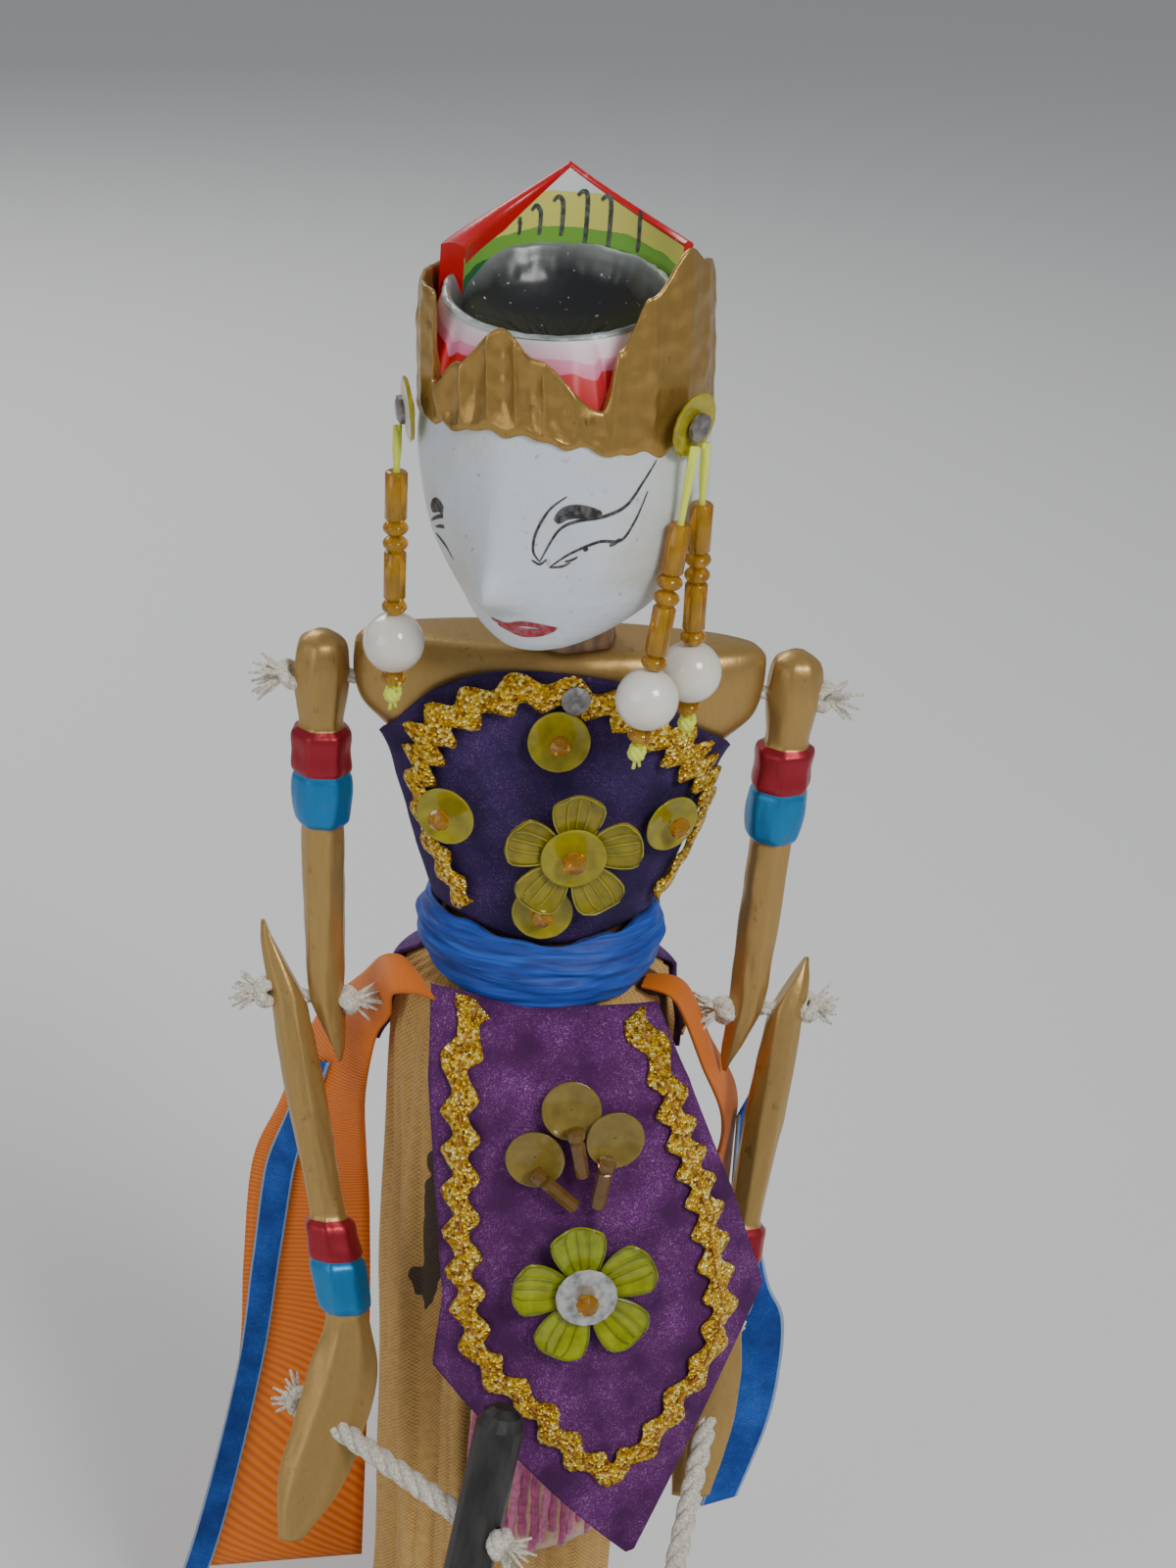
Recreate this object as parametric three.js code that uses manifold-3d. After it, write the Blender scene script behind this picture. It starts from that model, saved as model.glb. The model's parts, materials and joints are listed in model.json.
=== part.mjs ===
// A carved and painted wooden rod puppet in cloth costume, on a round stand block.
// Millimetres, +Z up. The rod axis is X = Y = 0, the floor is Z = 0, and the puppet faces -Y.
// "left" and "right" are the puppet's own, so left is +X.
import * as THREE from "three";
import Module from "manifold-3d";

const wasm = await Module();
wasm.setup();

// Driving sizes
const WAIST = 155; // height of the waist above the floor
const GAP = 0.35; // space between a piece and what it lies on
const CLOTH = 0.8; // thickness of velvet and skirt cloth
const BRAID = 0.7; // thickness of the gold braid
const ROD_R = 4; // central rod below the torso
const SPINDLE_R = 3.2; // central rod inside torso and neck
const STAND_R = 22;
const STAND_H = 11;
const SOCKET_FLOOR = 3;
const NECK_BASE = 39.3; // above the waist
const TORSO_TOP = 39;
const TORSO_FOOT = -10;
const SHOULDER_UP = 32; // shoulder cord above the waist
const SHOULDER_OUT = 31.2; // upper arm centre from the rod axis
const BAR_HALF = 27;
const CORD_R = 1.1;
const KNOT_R = 1.9;
const HOLE_R = CORD_R + 0.3;
const UPPER_ARM = 48; // shoulder cord to elbow cord
const ELBOW_R = 2.5;
const CONTROL_R = 3.3;
const PEARL_R = 3.75;
const SEQUIN_R = 4;
const SASH_TOP = 0.8;
const SASH_FOOT = -8;
const SKIRT_TOP = -3;
const HEM = 12; // hem above the floor
const HEAD_TURN = THREE.MathUtils.degToRad(-22); // the head looks to the puppet's right

const group = new THREE.Group();
const add = (name, geometry, colour, parent = group) => {
  const mesh = new THREE.Mesh(geometry, new THREE.MeshStandardMaterial({ color: colour }));
  mesh.name = name;
  parent.add(mesh);
  return mesh;
};

// Closed surface over rings of points that all hold the same even count
function loft(rings, joined = false) {
  const n = rings[0].length;
  const position = new Float32Array(rings.flat(2));
  const index = [];
  const last = rings.length - 1;
  for (let r = 0; r < (joined ? rings.length : last); r++)
    for (let i = 0; i < n; i++) {
      const next = (i + 1) % n;
      const up = ((r + 1) % rings.length) * n;
      index.push(r * n + i, r * n + next, up + next, r * n + i, up + next, up + i);
    }
  if (!joined)
    for (const base of [0, last * n])
      for (let i = 0; i < n / 2 - 1; i++) {
        const quad = [i, i + 1, n - 2 - i, n - 1 - i].map((k) => base + k);
        const [a, b, c, d] = base ? quad : quad.reverse();
        index.push(a, b, c, a, c, d);
      }
  return facingOut(position, index);
}

function facingOut(position, index) {
  const p = (k) => new THREE.Vector3().fromArray(position, 3 * k);
  let volume = 0;
  for (let i = 0; i < index.length; i += 3)
    volume += p(index[i]).dot(p(index[i + 1]).cross(p(index[i + 2])));
  if (volume < 0)
    for (let i = 0; i < index.length; i += 3)
      [index[i], index[i + 1]] = [index[i + 1], index[i]];
  const geometry = new THREE.BufferGeometry();
  geometry.setAttribute("position", new THREE.BufferAttribute(position, 3));
  geometry.setIndex(index);
  return geometry;
}

// Turned form about Z from [radius, height] pairs
const circle = (radius, z, n) =>
  Array.from({ length: n }, (_, i) => {
    const a = (2 * Math.PI * i) / n;
    return [radius * Math.cos(a), radius * Math.sin(a), z];
  });
const turned = (profile, n = 16) => loft(profile.map(([r, z]) => circle(r, z, n)));

// Thin sheet over a grid; at(u, v, side) gives a point, u and v from 0 to 1, side 0 or 1
function sheet(rows, cols, at) {
  const ring = (i) => {
    const u = i / rows;
    const line = (side) => Array.from({ length: cols + 1 }, (_, j) => at(u, j / cols, side));
    return [...line(0), ...line(1).reverse()];
  };
  return loft(Array.from({ length: rows + 1 }, (_, i) => ring(i)));
}

// Solid joins and cuts
function toSolid(geometry) {
  return new wasm.Manifold(
    new wasm.Mesh({
      numProp: 3,
      vertProperties: geometry.attributes.position.array,
      triVerts: new Uint32Array(geometry.index.array),
    }),
  );
}
function fromSolid(solid) {
  const mesh = solid.getMesh();
  return facingOut(new Float32Array(mesh.vertProperties), [...mesh.triVerts]);
}
const join = (...all) => fromSolid(all.map(toSolid).reduce((a, b) => a.add(b)));
const cut = (from, ...tools) =>
  fromSolid(tools.map(toSolid).reduce((a, b) => a.subtract(b), toSolid(from)));
const boreX = (radius, x0, x1, y, z) =>
  turned([[radius, x0], [radius, x1]], 12).rotateY(Math.PI / 2).translate(0, y, z);
const boreZ = (radius, z0, z1) => turned([[radius, z0], [radius, z1]], 24);

// Value between [key, value] stations, level at every station
function between(stations, key) {
  const k = THREE.MathUtils.clamp(key, stations[0][0], stations.at(-1)[0]);
  const i = Math.max(1, stations.findIndex(([s]) => s >= k));
  const [[k0, v0], [k1, v1]] = [stations[i - 1], stations[i]];
  const t = (k - k0) / (k1 - k0);
  return v0 + (v1 - v0) * t * t * (3 - 2 * t);
}

// Value on a flowing curve through [key, value] stations
function flowing(stations, key) {
  const k = THREE.MathUtils.clamp(key, stations[0][0], stations.at(-1)[0]);
  const i = Math.max(1, stations.findIndex(([s]) => s >= k));
  const slope = (j) => {
    const [a, b] = [stations[Math.max(0, j - 1)], stations[Math.min(stations.length - 1, j + 1)]];
    return (b[1] - a[1]) / (b[0] - a[0]);
  };
  const [[k0, v0], [k1, v1]] = [stations[i - 1], stations[i]];
  const [h, t] = [k1 - k0, (k - k0) / (k1 - k0)];
  return v0 + t * t * (3 - 2 * t) * (v1 - v0) + h * t * (1 - t) * ((1 - t) * slope(i - 1) - t * slope(i));
}

// Puts a geometry's +Z along a direction, its origin at a point
function aimed(geometry, from, to) {
  const turn = new THREE.Quaternion().setFromUnitVectors(
    new THREE.Vector3(0, 0, 1),
    to.clone().sub(from).normalize(),
  );
  return geometry.applyQuaternion(turn).translate(from.x, from.y, from.z);
}
const vec = (x, y, z) => new THREE.Vector3(x, y, z);

// Stand block and central rod
add(
  "stand_block",
  turned([
    [STAND_R - 1, 0], [STAND_R, 1], [STAND_R, STAND_H - 1.5], [STAND_R - 1.5, STAND_H],
    [ROD_R + 1, STAND_H], [ROD_R + 0.3, STAND_H - 0.7], [ROD_R + 0.3, SOCKET_FLOOR],
  ], 32),
  0x4a3424,
);
const NECK_SOCKET = 12;
add(
  "central_rod",
  turned([
    [ROD_R - 0.8, SOCKET_FLOOR], [ROD_R, SOCKET_FLOOR + 0.8],
    [ROD_R, WAIST + TORSO_FOOT - GAP], [SPINDLE_R, WAIST + TORSO_FOOT - GAP],
    [SPINDLE_R, WAIST + NECK_BASE + NECK_SOCKET - 0.5],
  ], 16),
  0x5b4330,
);

// Torso: half-width and half-depth at heights above the waist
const TORSO_A = [
  [-10, 11], [-4, 12], [1, 13.7], [8, 16.3], [18, 19.4], [24.5, 21.8], [29.5, 26.2], [37, BAR_HALF], [39, 25.5],
];
const TORSO_B = [[-10, 8.4], [-4, 9], [8, 9.2], [18, 9.6], [26, 8.6], [32, 7.8], [37, 7.2], [39, 5.8]];
const torsoAt = (angle, up, off = 0) => [
  (flowing(TORSO_A, up) + off) * Math.sin(angle),
  -(flowing(TORSO_B, up) + off) * Math.cos(angle),
  WAIST + up,
];
const around = (n, at) => Array.from({ length: n }, (_, i) => at((2 * Math.PI * i) / n));
const TORSO_STEPS = 12;
const torsoRings = Array.from({ length: TORSO_STEPS + 1 }, (_, i) => {
  const up = THREE.MathUtils.lerp(TORSO_FOOT, TORSO_TOP, i / TORSO_STEPS);
  return around(28, (a) => torsoAt(a, up));
});
const BLIND = 5; // depth of the cord holes in the shoulder bar
add(
  "torso",
  cut(
    loft(torsoRings),
    boreZ(SPINDLE_R + 0.3, WAIST + TORSO_FOOT - 1, WAIST + TORSO_TOP + 1),
    ...[-1, 1].map((s) =>
      boreX(HOLE_R, s > 0 ? BAR_HALF - BLIND : -BAR_HALF - 2,
        s > 0 ? BAR_HALF + 2 : -BAR_HALF + BLIND, 0, WAIST + SHOULDER_UP)),
  ),
  0x9a7a3c,
);

// Head: tapering face, ridge and nose, neck, crown with a hollow bowl, and rear crest
const head = new THREE.Group();
head.position.z = WAIST + 36;
head.rotation.z = HEAD_TURN;
group.add(head);
const FACE = [
  // height, centre X, centre Y, half-width, half-depth, nose
  [9.6, 1.4, -20, 3, 2.4, 0], [10.6, 1.9, -18, 5.8, 5.6, 0], [12.2, 2.1, -15.6, 8.8, 8.8, 0.4],
  [14.8, 2.4, -12.8, 11.9, 12.4, 1.2], [17, 2.3, -11.6, 13.7, 14.3, 3.3], [18.6, 2.1, -10.9, 14.8, 15.3, 3.5],
  [21.6, 1.9, -9.8, 16.5, 16.9, 1.9], [27, 1.3, -9, 17.6, 17.7, 1.1], [32, 0.7, -8.5, 17.9, 18, 0.7],
  [37, 0.5, -8.3, 17.3, 17.9, 0],
];
const NOSE_X = -1.3;
const face = loft(
  FACE.map(([z, cx, cy, a, b, nose]) =>
    around(36, (t) => {
      const x = cx + a * Math.sin(t);
      const front = Math.cos(t) > 0 ? Math.exp(-(((x - NOSE_X) / (0.2 * a)) ** 2)) : 0;
      return [x, cy - b * Math.cos(t) - nose * front, z];
    })),
);
const CROWN_A = 18.1;
const CROWN_B = 18.9;
const CROWN_X = 0.5;
const CROWN_Y = -8.3;
// The crown's upper edge by the angle from the front: side column, front peak, tall side panel
const RIM = [
  [-3.15, 50], [-1.75, 50.6], [-0.8, 51], [-0.68, 40.6], [-0.45, 44.2], [-0.1, 49.4], [0.15, 46.4],
  [0.62, 40.8], [0.72, 47.8], [0.92, 53.6], [1.26, 58.6], [1.5, 56.6], [2.2, 52.5], [3.15, 50],
];
const rim = (t) => between(RIM, Math.atan2(Math.sin(t), Math.cos(t)));
const crownFoot = (t) => 37 - 2.9 * Math.abs(Math.sin(t)) ** 1.6;
const PETAL_FOOT = 41.6;
const CROWN_TOP_X = CROWN_X - 1.2; // the crown leans a little as it rises
const BOWL_X = CROWN_X - 2;
const BOWL_RIM = 50.2;
const bowlRim = (t) => BOWL_RIM - 2.3 * Math.cos(t - 0.27) + 0.6 * Math.sin(t);
const FLUTES = 22;
const crownRing = (scale, height, flute = 0, middle = CROWN_X) =>
  around(2 * FLUTES, (t) => {
    const k = scale + flute * Math.cos(FLUTES * t);
    const z = typeof height === "function" ? height(t) : height;
    return [middle + k * CROWN_A * Math.sin(t), CROWN_Y - k * CROWN_B * Math.cos(t), z];
  });
const crown = loft([
  crownRing(0.92, (t) => crownFoot(t) - 1),
  crownRing(0.98, crownFoot, 0.006),
  crownRing(0.975, (t) => 0.5 * rim(t) + 0.5 * crownFoot(t), 0.01, 0.5 * (CROWN_X + CROWN_TOP_X)),
  crownRing(0.96, (t) => rim(t) - 0.6, 0.006, CROWN_TOP_X),
  crownRing(0.92, rim, 0, CROWN_TOP_X),
  crownRing(0.88, (t) => Math.min(rim(t) - 0.4, PETAL_FOOT + 3.5 * (1 - Math.cos(t))), 0, CROWN_TOP_X),
  crownRing(0.79, (t) => bowlRim(t) - 0.3, 0, 0.5 * (CROWN_TOP_X + BOWL_X)),
  crownRing(0.73, bowlRim, 0, BOWL_X),
  crownRing(0.66, (t) => bowlRim(t) - 2.6, 0, BOWL_X),
  crownRing(0.46, 43.4, 0, BOWL_X),
  crownRing(0.2, 42.6, 0, BOWL_X),
]);
const CREST_TURN = THREE.MathUtils.degToRad(20); // the crest stands square to the body
const CREST_SPAN = 1.3;
const CREST_RING = 0.86;
const CREST_THICK = [3, 1.2]; // thicker towards the puppet's right
const CREST_FOOT = 45;
const CREST_END = 54.6;
const CREST_RISE = 7.2;
const crest = sheet(18, 2, (u, v, inner) => {
  const s = 2 * u - 1;
  const t = Math.PI + CREST_TURN - CREST_SPAN * s;
  const off = inner ? THREE.MathUtils.lerp(CREST_THICK[0], CREST_THICK[1], Math.min(1, 2 * u)) : 0;
  const top = CREST_END + s + CREST_RISE * (1 - Math.abs(s)) ** 1.9;
  return [
    CROWN_TOP_X + (CREST_RING * CROWN_A - off) * Math.sin(t),
    CROWN_Y - (CREST_RING * CROWN_B - off) * Math.cos(t),
    THREE.MathUtils.lerp(CREST_FOOT, top, v),
  ];
});
const neckFoot = NECK_BASE - 36;
const neck = turned([[7.2, neckFoot], [6.9, neckFoot + 2], [6.9, 12], [7.6, 18]], 20);
add("head",
  cut(join(face, neck, crown, crest), boreZ(SPINDLE_R + 0.3, -1, neckFoot + NECK_SOCKET)), 0xe9e4da, head);

// Ear nails, sequins and hanging strands
const sequinForm = (radius) =>
  turned([[0.9, 0], [radius - 0.2, 0.5], [radius, 0.8], [radius - 0.3, 1], [1.1, 0.8]], 16);
const beadForm = (radius) =>
  turned([[0.4, 0], [radius * 0.85, radius * 0.4], [radius, radius * 0.8],
    [radius * 0.85, radius * 1.2], [0.4, radius * 1.6]], 10);
const THREAD_R = 0.5;
function strandProfile(thread) {
  const p = [[THREAD_R, 0], [THREAD_R, thread]];
  let z = thread;
  const bead = (radius, long) => {
    p.push([radius, z + 0.5], [radius, z + long - 0.5], [0.8, z + long]);
    z += long;
  };
  for (const [r, long] of STRAND_BEADS) bead(r, long);
  for (const k of [0.12, 0.3, 0.5, 0.7, 0.88])
    p.push([PEARL_R * Math.sin(Math.PI * k), z + PEARL_R * (1 - Math.cos(Math.PI * k))]);
  z += 2 * PEARL_R;
  bead(1.6, 2);
  p.push([0.7, z + 1.5], [0.5, z + 4]);
  return p;
}
// radius, length: bugle, two seed beads, bugle, seed bead
const STRAND_BEADS = [[1.4, 6.2], [1.6, 2], [1.6, 2], [1.4, 6.2], [1.6, 2]];
const BEADS_LONG = STRAND_BEADS.reduce((sum, [, long]) => sum + long, 0);
const EARS = { left: [1.2, 38.9], right: [-1.05, 35.8] }; // angle from the front, height
const STUD_OFF = 0.7;
// Each strand's place beside the nail and the middle of its pearl
const HANG = {
  left: { front: [-1.1, vec(8.3, -25, WAIST + 41.4)], rear: [1.1, vec(14, -20, WAIST + 43.1)] },
  right: { front: [0, vec(-22.2, -11.6, WAIST + 41.8)] },
};
head.updateMatrixWorld(true);
for (const [side, [t, z]] of Object.entries(EARS)) {
  const out = vec(Math.sin(t), -Math.cos(t), -0.12).normalize();
  const base = vec(CROWN_X + 0.98 * CROWN_A * Math.sin(t), CROWN_Y - 0.98 * CROWN_B * Math.cos(t), z)
    .addScaledVector(out, STUD_OFF);
  add("ear_sequin_" + side, aimed(sequinForm(SEQUIN_R), base, base.clone().add(out)), 0xd9c23a, head);
  const nailAt = base.clone().addScaledVector(out, 1.3);
  add("ear_nail_" + side, aimed(turned([[1.8, 0], [1.8, 0.55], [1.1, 0.85]], 12),
    nailAt, nailAt.clone().add(out)), 0x9a9a98, head);
  for (const [name, [across, pearl]] of Object.entries(HANG[side])) {
    const from = base.clone().addScaledVector(out, 1.9).add(vec(across * Math.cos(t), across * Math.sin(t), -2.5));
    const to = head.worldToLocal(pearl.clone());
    const thread = from.distanceTo(to) - BEADS_LONG - PEARL_R;
    add(`earring_strand_${side}_${name}`, aimed(turned(strandProfile(thread), 6), from, to), 0xe6d24c, head);
  }
}

// Arms, their cords and the control rods
const armProfile = [
  [0.9, -UPPER_ARM - 10], [1.7, -UPPER_ARM - 6], [ELBOW_R, -UPPER_ARM], [2.9, -UPPER_ARM + 14],
  [3, -21.4], [3.7, -20.8], [4.1, -14], [3.8, -13.6], [4.2, -13.2], [4, -7.8], [3, -7.2],
  [3.7, -1], [3.7, 2], [3, 4.8], [1.6, 6],
];
// height, centre Y, half-width across, half-depth
const forearmStations = [
  [4, 0, 2, 2], [0, 0, ELBOW_R, ELBOW_R], [-14, 0, 2.9, 2.9], [-31, 0, 2.6, 2.8],
  [-32, 0, 3.6, 3.6], [-36.6, 0, 3.9, 3.9], [-37, 0, 3.5, 3.5], [-37.4, 0, 4, 4], [-44, 0, 3.7, 3.7],
  [-45, 0, 3, 2.8],
];
const HAND_HOLE = { left: 59, right: 61 }; // elbow cord to hand cord
const SPIKE = { left: 7.5, right: 10.5 }; // forearm above the elbow cord
// A plank-like left hand and a leaf-like right hand
const HAND = {
  left: [[-53, -0.4, 4.3, 2.4], [-62, -1.2, 4.2, 2], [-70.5, -2.2, 2.8, 1.2]],
  right: [[-53, -0.6, 4.9, 2.6], [-61, -1.4, 5.3, 2.4], [-69, -2.6, 4.8, 2], [-76.5, -4.2, 1.8, 1.1]],
};
const cordForm = (length) =>
  turned([
    [0.9, -2.9], [1.5, -2.6], [KNOT_R, -1.8], [KNOT_R, -1], [CORD_R, -0.3], [CORD_R, length + 0.3],
    [KNOT_R, length + 1], [KNOT_R, length + 1.8], [1.5, length + 2.6], [0.9, length + 2.9],
  ], 10);
const ELBOW_STEP = { left: 5.8, right: 5.2 }; // upper arm centre to forearm centre
// Degrees: upper arm back, forearm back, upper arm inward, forearm inward
const LEANS = { left: [-2, -20, 1.8, 8.2], right: [-2, -20, 2.6, 12] };
const HAND_OUT = { left: 0, right: 14.6 }; // how far the fingertips bend outward
const HAND_CORD = { left: vec(20.4, -45.8, WAIST - 88.5), right: vec(-6.2, -44, WAIST - 72) };
const KNOTS = { left: [9.8, 2.6], right: [5.8, 0.8] }; // behind the middle of the hand, ahead of the rod
const ROD_LEAN = { left: vec(0.1, -0.2, -1), right: vec(-0.17, -0.3, -1) };
const ROD_OVER_HOLE = { left: 6, right: 17 };
for (const s of [-1, 1]) {
  const side = s > 0 ? "left" : "right";
  const [upper, fore, upperIn, foreIn] = LEANS[side].map((d) => THREE.MathUtils.degToRad(d));
  const arm = new THREE.Group();
  arm.position.set(s * SHOULDER_OUT, 0, WAIST + SHOULDER_UP);
  arm.rotation.x = upper;
  group.add(arm);
  // The shafts lean in, while the cord holes stay square to their cords
  const armIn = (z) => s * Math.tan(upperIn) * Math.min(0, z + 2);
  const lap = (beyond) => 1.2 * THREE.MathUtils.clamp(beyond / 8, 0, 1); // lapped ends lean to their tips
  add("upper_arm_" + side,
    cut(loft(armProfile.map(([r, z]) =>
      around(14, (t) => [armIn(z) - s * lap(-z - UPPER_ARM) + r * Math.sin(t), -r * Math.cos(t), z]))),
      boreX(HOLE_R, -6, 6, 0, 0), boreX(HOLE_R, armIn(-UPPER_ARM) - 6, armIn(-UPPER_ARM) + 6, 0, -UPPER_ARM)),
    0x9a7a3c, arm);
  const inBar = BAR_HALF - BLIND + 0.6;
  add("shoulder_cord_" + side,
    turned([[CORD_R, inBar], [CORD_R, SHOULDER_OUT + 3.9], [KNOT_R, SHOULDER_OUT + 4.2],
      [KNOT_R, SHOULDER_OUT + 5.2], [1.2, SHOULDER_OUT + 6.4], [0.8, SHOULDER_OUT + 8]], 10)
      .rotateY((s * Math.PI) / 2).translate(0, 0, WAIST + SHOULDER_UP), 0xe8e2d2);
  const elbow = new THREE.Group();
  elbow.position.set(armIn(-UPPER_ARM), 0, -UPPER_ARM);
  arm.add(elbow);
  const innerKnot = ELBOW_R + 0.2;
  add("elbow_cord_" + side,
    cordForm(ELBOW_STEP[side] + 2 * innerKnot).rotateY((s * Math.PI) / 2).translate(-s * innerKnot, 0, 0),
    0xe8e2d2, elbow);
  const fore_ = new THREE.Group();
  fore_.position.set(s * ELBOW_STEP[side], 0, 0);
  fore_.rotation.set(fore - upper, 0, 0);
  elbow.add(fore_);
  const lean = (z) => s * (Math.tan(foreIn) * z
    + HAND_OUT[side] * THREE.MathUtils.clamp((-z - 46) / 33, 0, 1) ** 1.35);
  const bar = loft([[SPIKE[side], 0, 0.8, 0.8], ...forearmStations, ...HAND[side]].map(([z, cy, a, b]) =>
    around(14, (t) => [lean(z) + s * lap(z) + a * Math.sin(t), cy - b * Math.cos(t), z])));
  const handAt = vec(lean(-HAND_HOLE[side]), -1.7, -HAND_HOLE[side]);
  group.updateMatrixWorld(true);
  const goal = fore_.worldToLocal(HAND_CORD[side].clone());
  const way = goal.clone().sub(handAt);
  const reach = way.length();
  const [back, ahead] = KNOTS[side];
  const knotted = handAt.clone().addScaledVector(way.normalize(), -back);
  const hole = aimed(turned([[HOLE_R, -12], [HOLE_R, 24]], 12), handAt, goal);
  add("forearm_" + side, cut(bar, boreX(HOLE_R, -6, 6, 0, 0), hole), 0x9a7a3c, fore_);
  add("hand_cord_" + side,
    aimed(cordForm(reach + back + CONTROL_R + ahead), knotted, goal), 0xe8e2d2, fore_);
  // Control rod: hole crossed by the hand cord, foot on the floor
  const down = ROD_LEAN[side].clone().normalize();
  const at = HAND_CORD[side];
  const over = ROD_OVER_HOLE[side];
  const foot = (at.z - CONTROL_R * Math.hypot(down.x, down.y) - 0.2) / -down.z;
  const rod = aimed(
    turned([
      [1.4, -over], [2.6, 0.9 - over], [CONTROL_R, 2.6 - over],
      [CONTROL_R, foot],
    ], 16), at, at.clone().add(down));
  const cordWay = fore_.localToWorld(goal.clone()).sub(fore_.localToWorld(handAt.clone()));
  add("control_rod_" + side,
    cut(rod, aimed(turned([[HOLE_R, -12], [HOLE_R, 12]], 12), at, at.clone().add(cordWay))), 0x1d1a18);
}

// Skirt: a straight gathered tube with rounded top and shallow drape folds
const SKIRT_A = [
  [HEM - WAIST, 20], [-100, 19.8], [-60, 20.6], [-22, 20.8], [-12, 19], [-8.5, 14.2], [SKIRT_TOP, 14.1],
];
const SKIRT_B = [
  [HEM - WAIST, 20], [-100, 19.6], [-60, 19.8], [-22, 19.3], [-12, 16], [-8.5, 11.2], [SKIRT_TOP, 11.1],
];
const FOLDS = 11;
const foldDepth = (up) => THREE.MathUtils.clamp((-up - 14) / 60, 0, 1) * 1.3;
const skirtAt = (angle, up, off = 0, folded = false) => {
  const wave = folded ? foldDepth(up) * (Math.cos(FOLDS * angle + 0.02 * up) - 1) : 0;
  return [
    (between(SKIRT_A, up) + off + wave) * Math.sin(angle),
    -(between(SKIRT_B, up) + off + wave) * Math.cos(angle),
    WAIST + up,
  ];
};
const SKIRT_UPS = [SKIRT_TOP, -9, -11.5, -15, -26, -60, -100, HEM - WAIST];
const SKIRT_STEPS = 60;
add(
  "skirt",
  loft([
    ...SKIRT_UPS.map((up) => around(SKIRT_STEPS, (a) => skirtAt(a, up, 0, true))),
    ...SKIRT_UPS.toReversed().map((up) => around(SKIRT_STEPS, (a) => skirtAt(a, up, -CLOTH - 0.3, true))),
  ], true),
  0xb29a6c,
);

// Waist sash, crinkled
const SASH_ROWS = 7;
const SASH_DIP = 1.3; // its top sinks at the front
const sashRing = (k, off) =>
  around(40, (a) => {
    const top = SASH_TOP - SASH_DIP * Math.max(0, Math.cos(a)) ** 6;
    const up = THREE.MathUtils.lerp(SASH_FOOT, top, k / SASH_ROWS);
    const bulge = off && 1.3 * Math.sin((Math.PI * k) / SASH_ROWS) + 0.25 * Math.cos(3 * k + 2 * Math.sin(a));
    return [(14.6 + off + bulge) * Math.sin(a), -(11.6 + off + bulge) * Math.cos(a), WAIST + up];
  });
add(
  "waist_sash",
  loft([
    ...Array.from({ length: SASH_ROWS + 1 }, (_, k) => sashRing(k, 0.9)),
    sashRing(SASH_ROWS, 0),
    sashRing(0, 0),
  ], true),
  0x1f3fae,
);

// Bodice: velvet front, highest at the neck, straight down both sides to the sash
const BODICE_HALF = 1.38; // half its angle round the chest
const BODICE_OFF = 0.75;
const BODICE_TOP = [
  [-1.4, 25], [-0.92, 28.4], [-0.6, 34], [-0.35, 36.7], [-0.05, 37.2], [0.33, 35.5], [0.73, 29.3], [1.4, 24.7],
];
const bodiceFoot = SASH_TOP + 0.5;
add("bodice_panel",
  sheet(9, 12, (u, v, back) => {
    const angle = BODICE_HALF * (2 * v - 1);
    const up = THREE.MathUtils.lerp(bodiceFoot, flowing(BODICE_TOP, angle), u);
    return torsoAt(angle, up, back ? BODICE_OFF : BODICE_OFF + CLOTH);
  }), 0x2c2352);

// Braid along a path of flat points, its edges in small waves
const BRAID_WIDE = 4.4;
const BRAID_WAVE = 0.5;
function braid(path, rows, at) {
  const line = new THREE.CatmullRomCurve3(path.map(([x, y]) => vec(x, y, 0)));
  return sheet(rows, 1, (u, v, back) => {
    const tangent = line.getTangentAt(u);
    const aside = BRAID_WIDE * (v - 0.5) + BRAID_WAVE * Math.cos(Math.PI * rows * u);
    const p = line.getPointAt(u).add(vec(tangent.y * aside, -tangent.x * aside, 0));
    return at(p.x, p.y, back ? 0 : BRAID);
  });
}
const CHEST_R = 20; // turns the path's millimetres into angles round the chest
const BODICE_BRAID = [
  [-13.8, 3.4], [-18, 11.5], [-18.8, 17.1], [-18, 21.5], [-15, 26.1], [-9.4, 31.6], [-3.2, 35], [3.8, 33.5],
  [8.2, 30.5], [14, 26.3], [21.8, 20.7], [25, 14.9], [24.8, 11], [19.6, 4.2],
];
add("bodice_braid",
  braid(BODICE_BRAID, 36, (x, up, off) => torsoAt(x / CHEST_R, up, BODICE_OFF + CLOTH + GAP + 0.15 + off)), 0xc9a227);

// A point on a covered surface with its outward direction
function seat(at, angle, up, off) {
  const p = vec(...at(angle, up, off));
  const du = vec(...at(angle + 0.02, up, off)).sub(vec(...at(angle - 0.02, up, off)));
  const dv = vec(...at(angle, up + 0.3, off)).sub(vec(...at(angle, up - 0.3, off)));
  return [p, p.clone().add(du.cross(dv).normalize())];
}
const onSeat = (geometry, at, angle, up, off) => aimed(geometry, ...seat(at, angle, up, off));
const chestOff = BODICE_OFF + CLOTH + GAP;
add("bodice_tack",
  onSeat(turned([[1.9, 0], [1.9, 0.5], [1, 0.9]], 12), torsoAt, 0.04, 34.5, chestOff + BRAID + 0.5), 0x8e8e8c);
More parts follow.
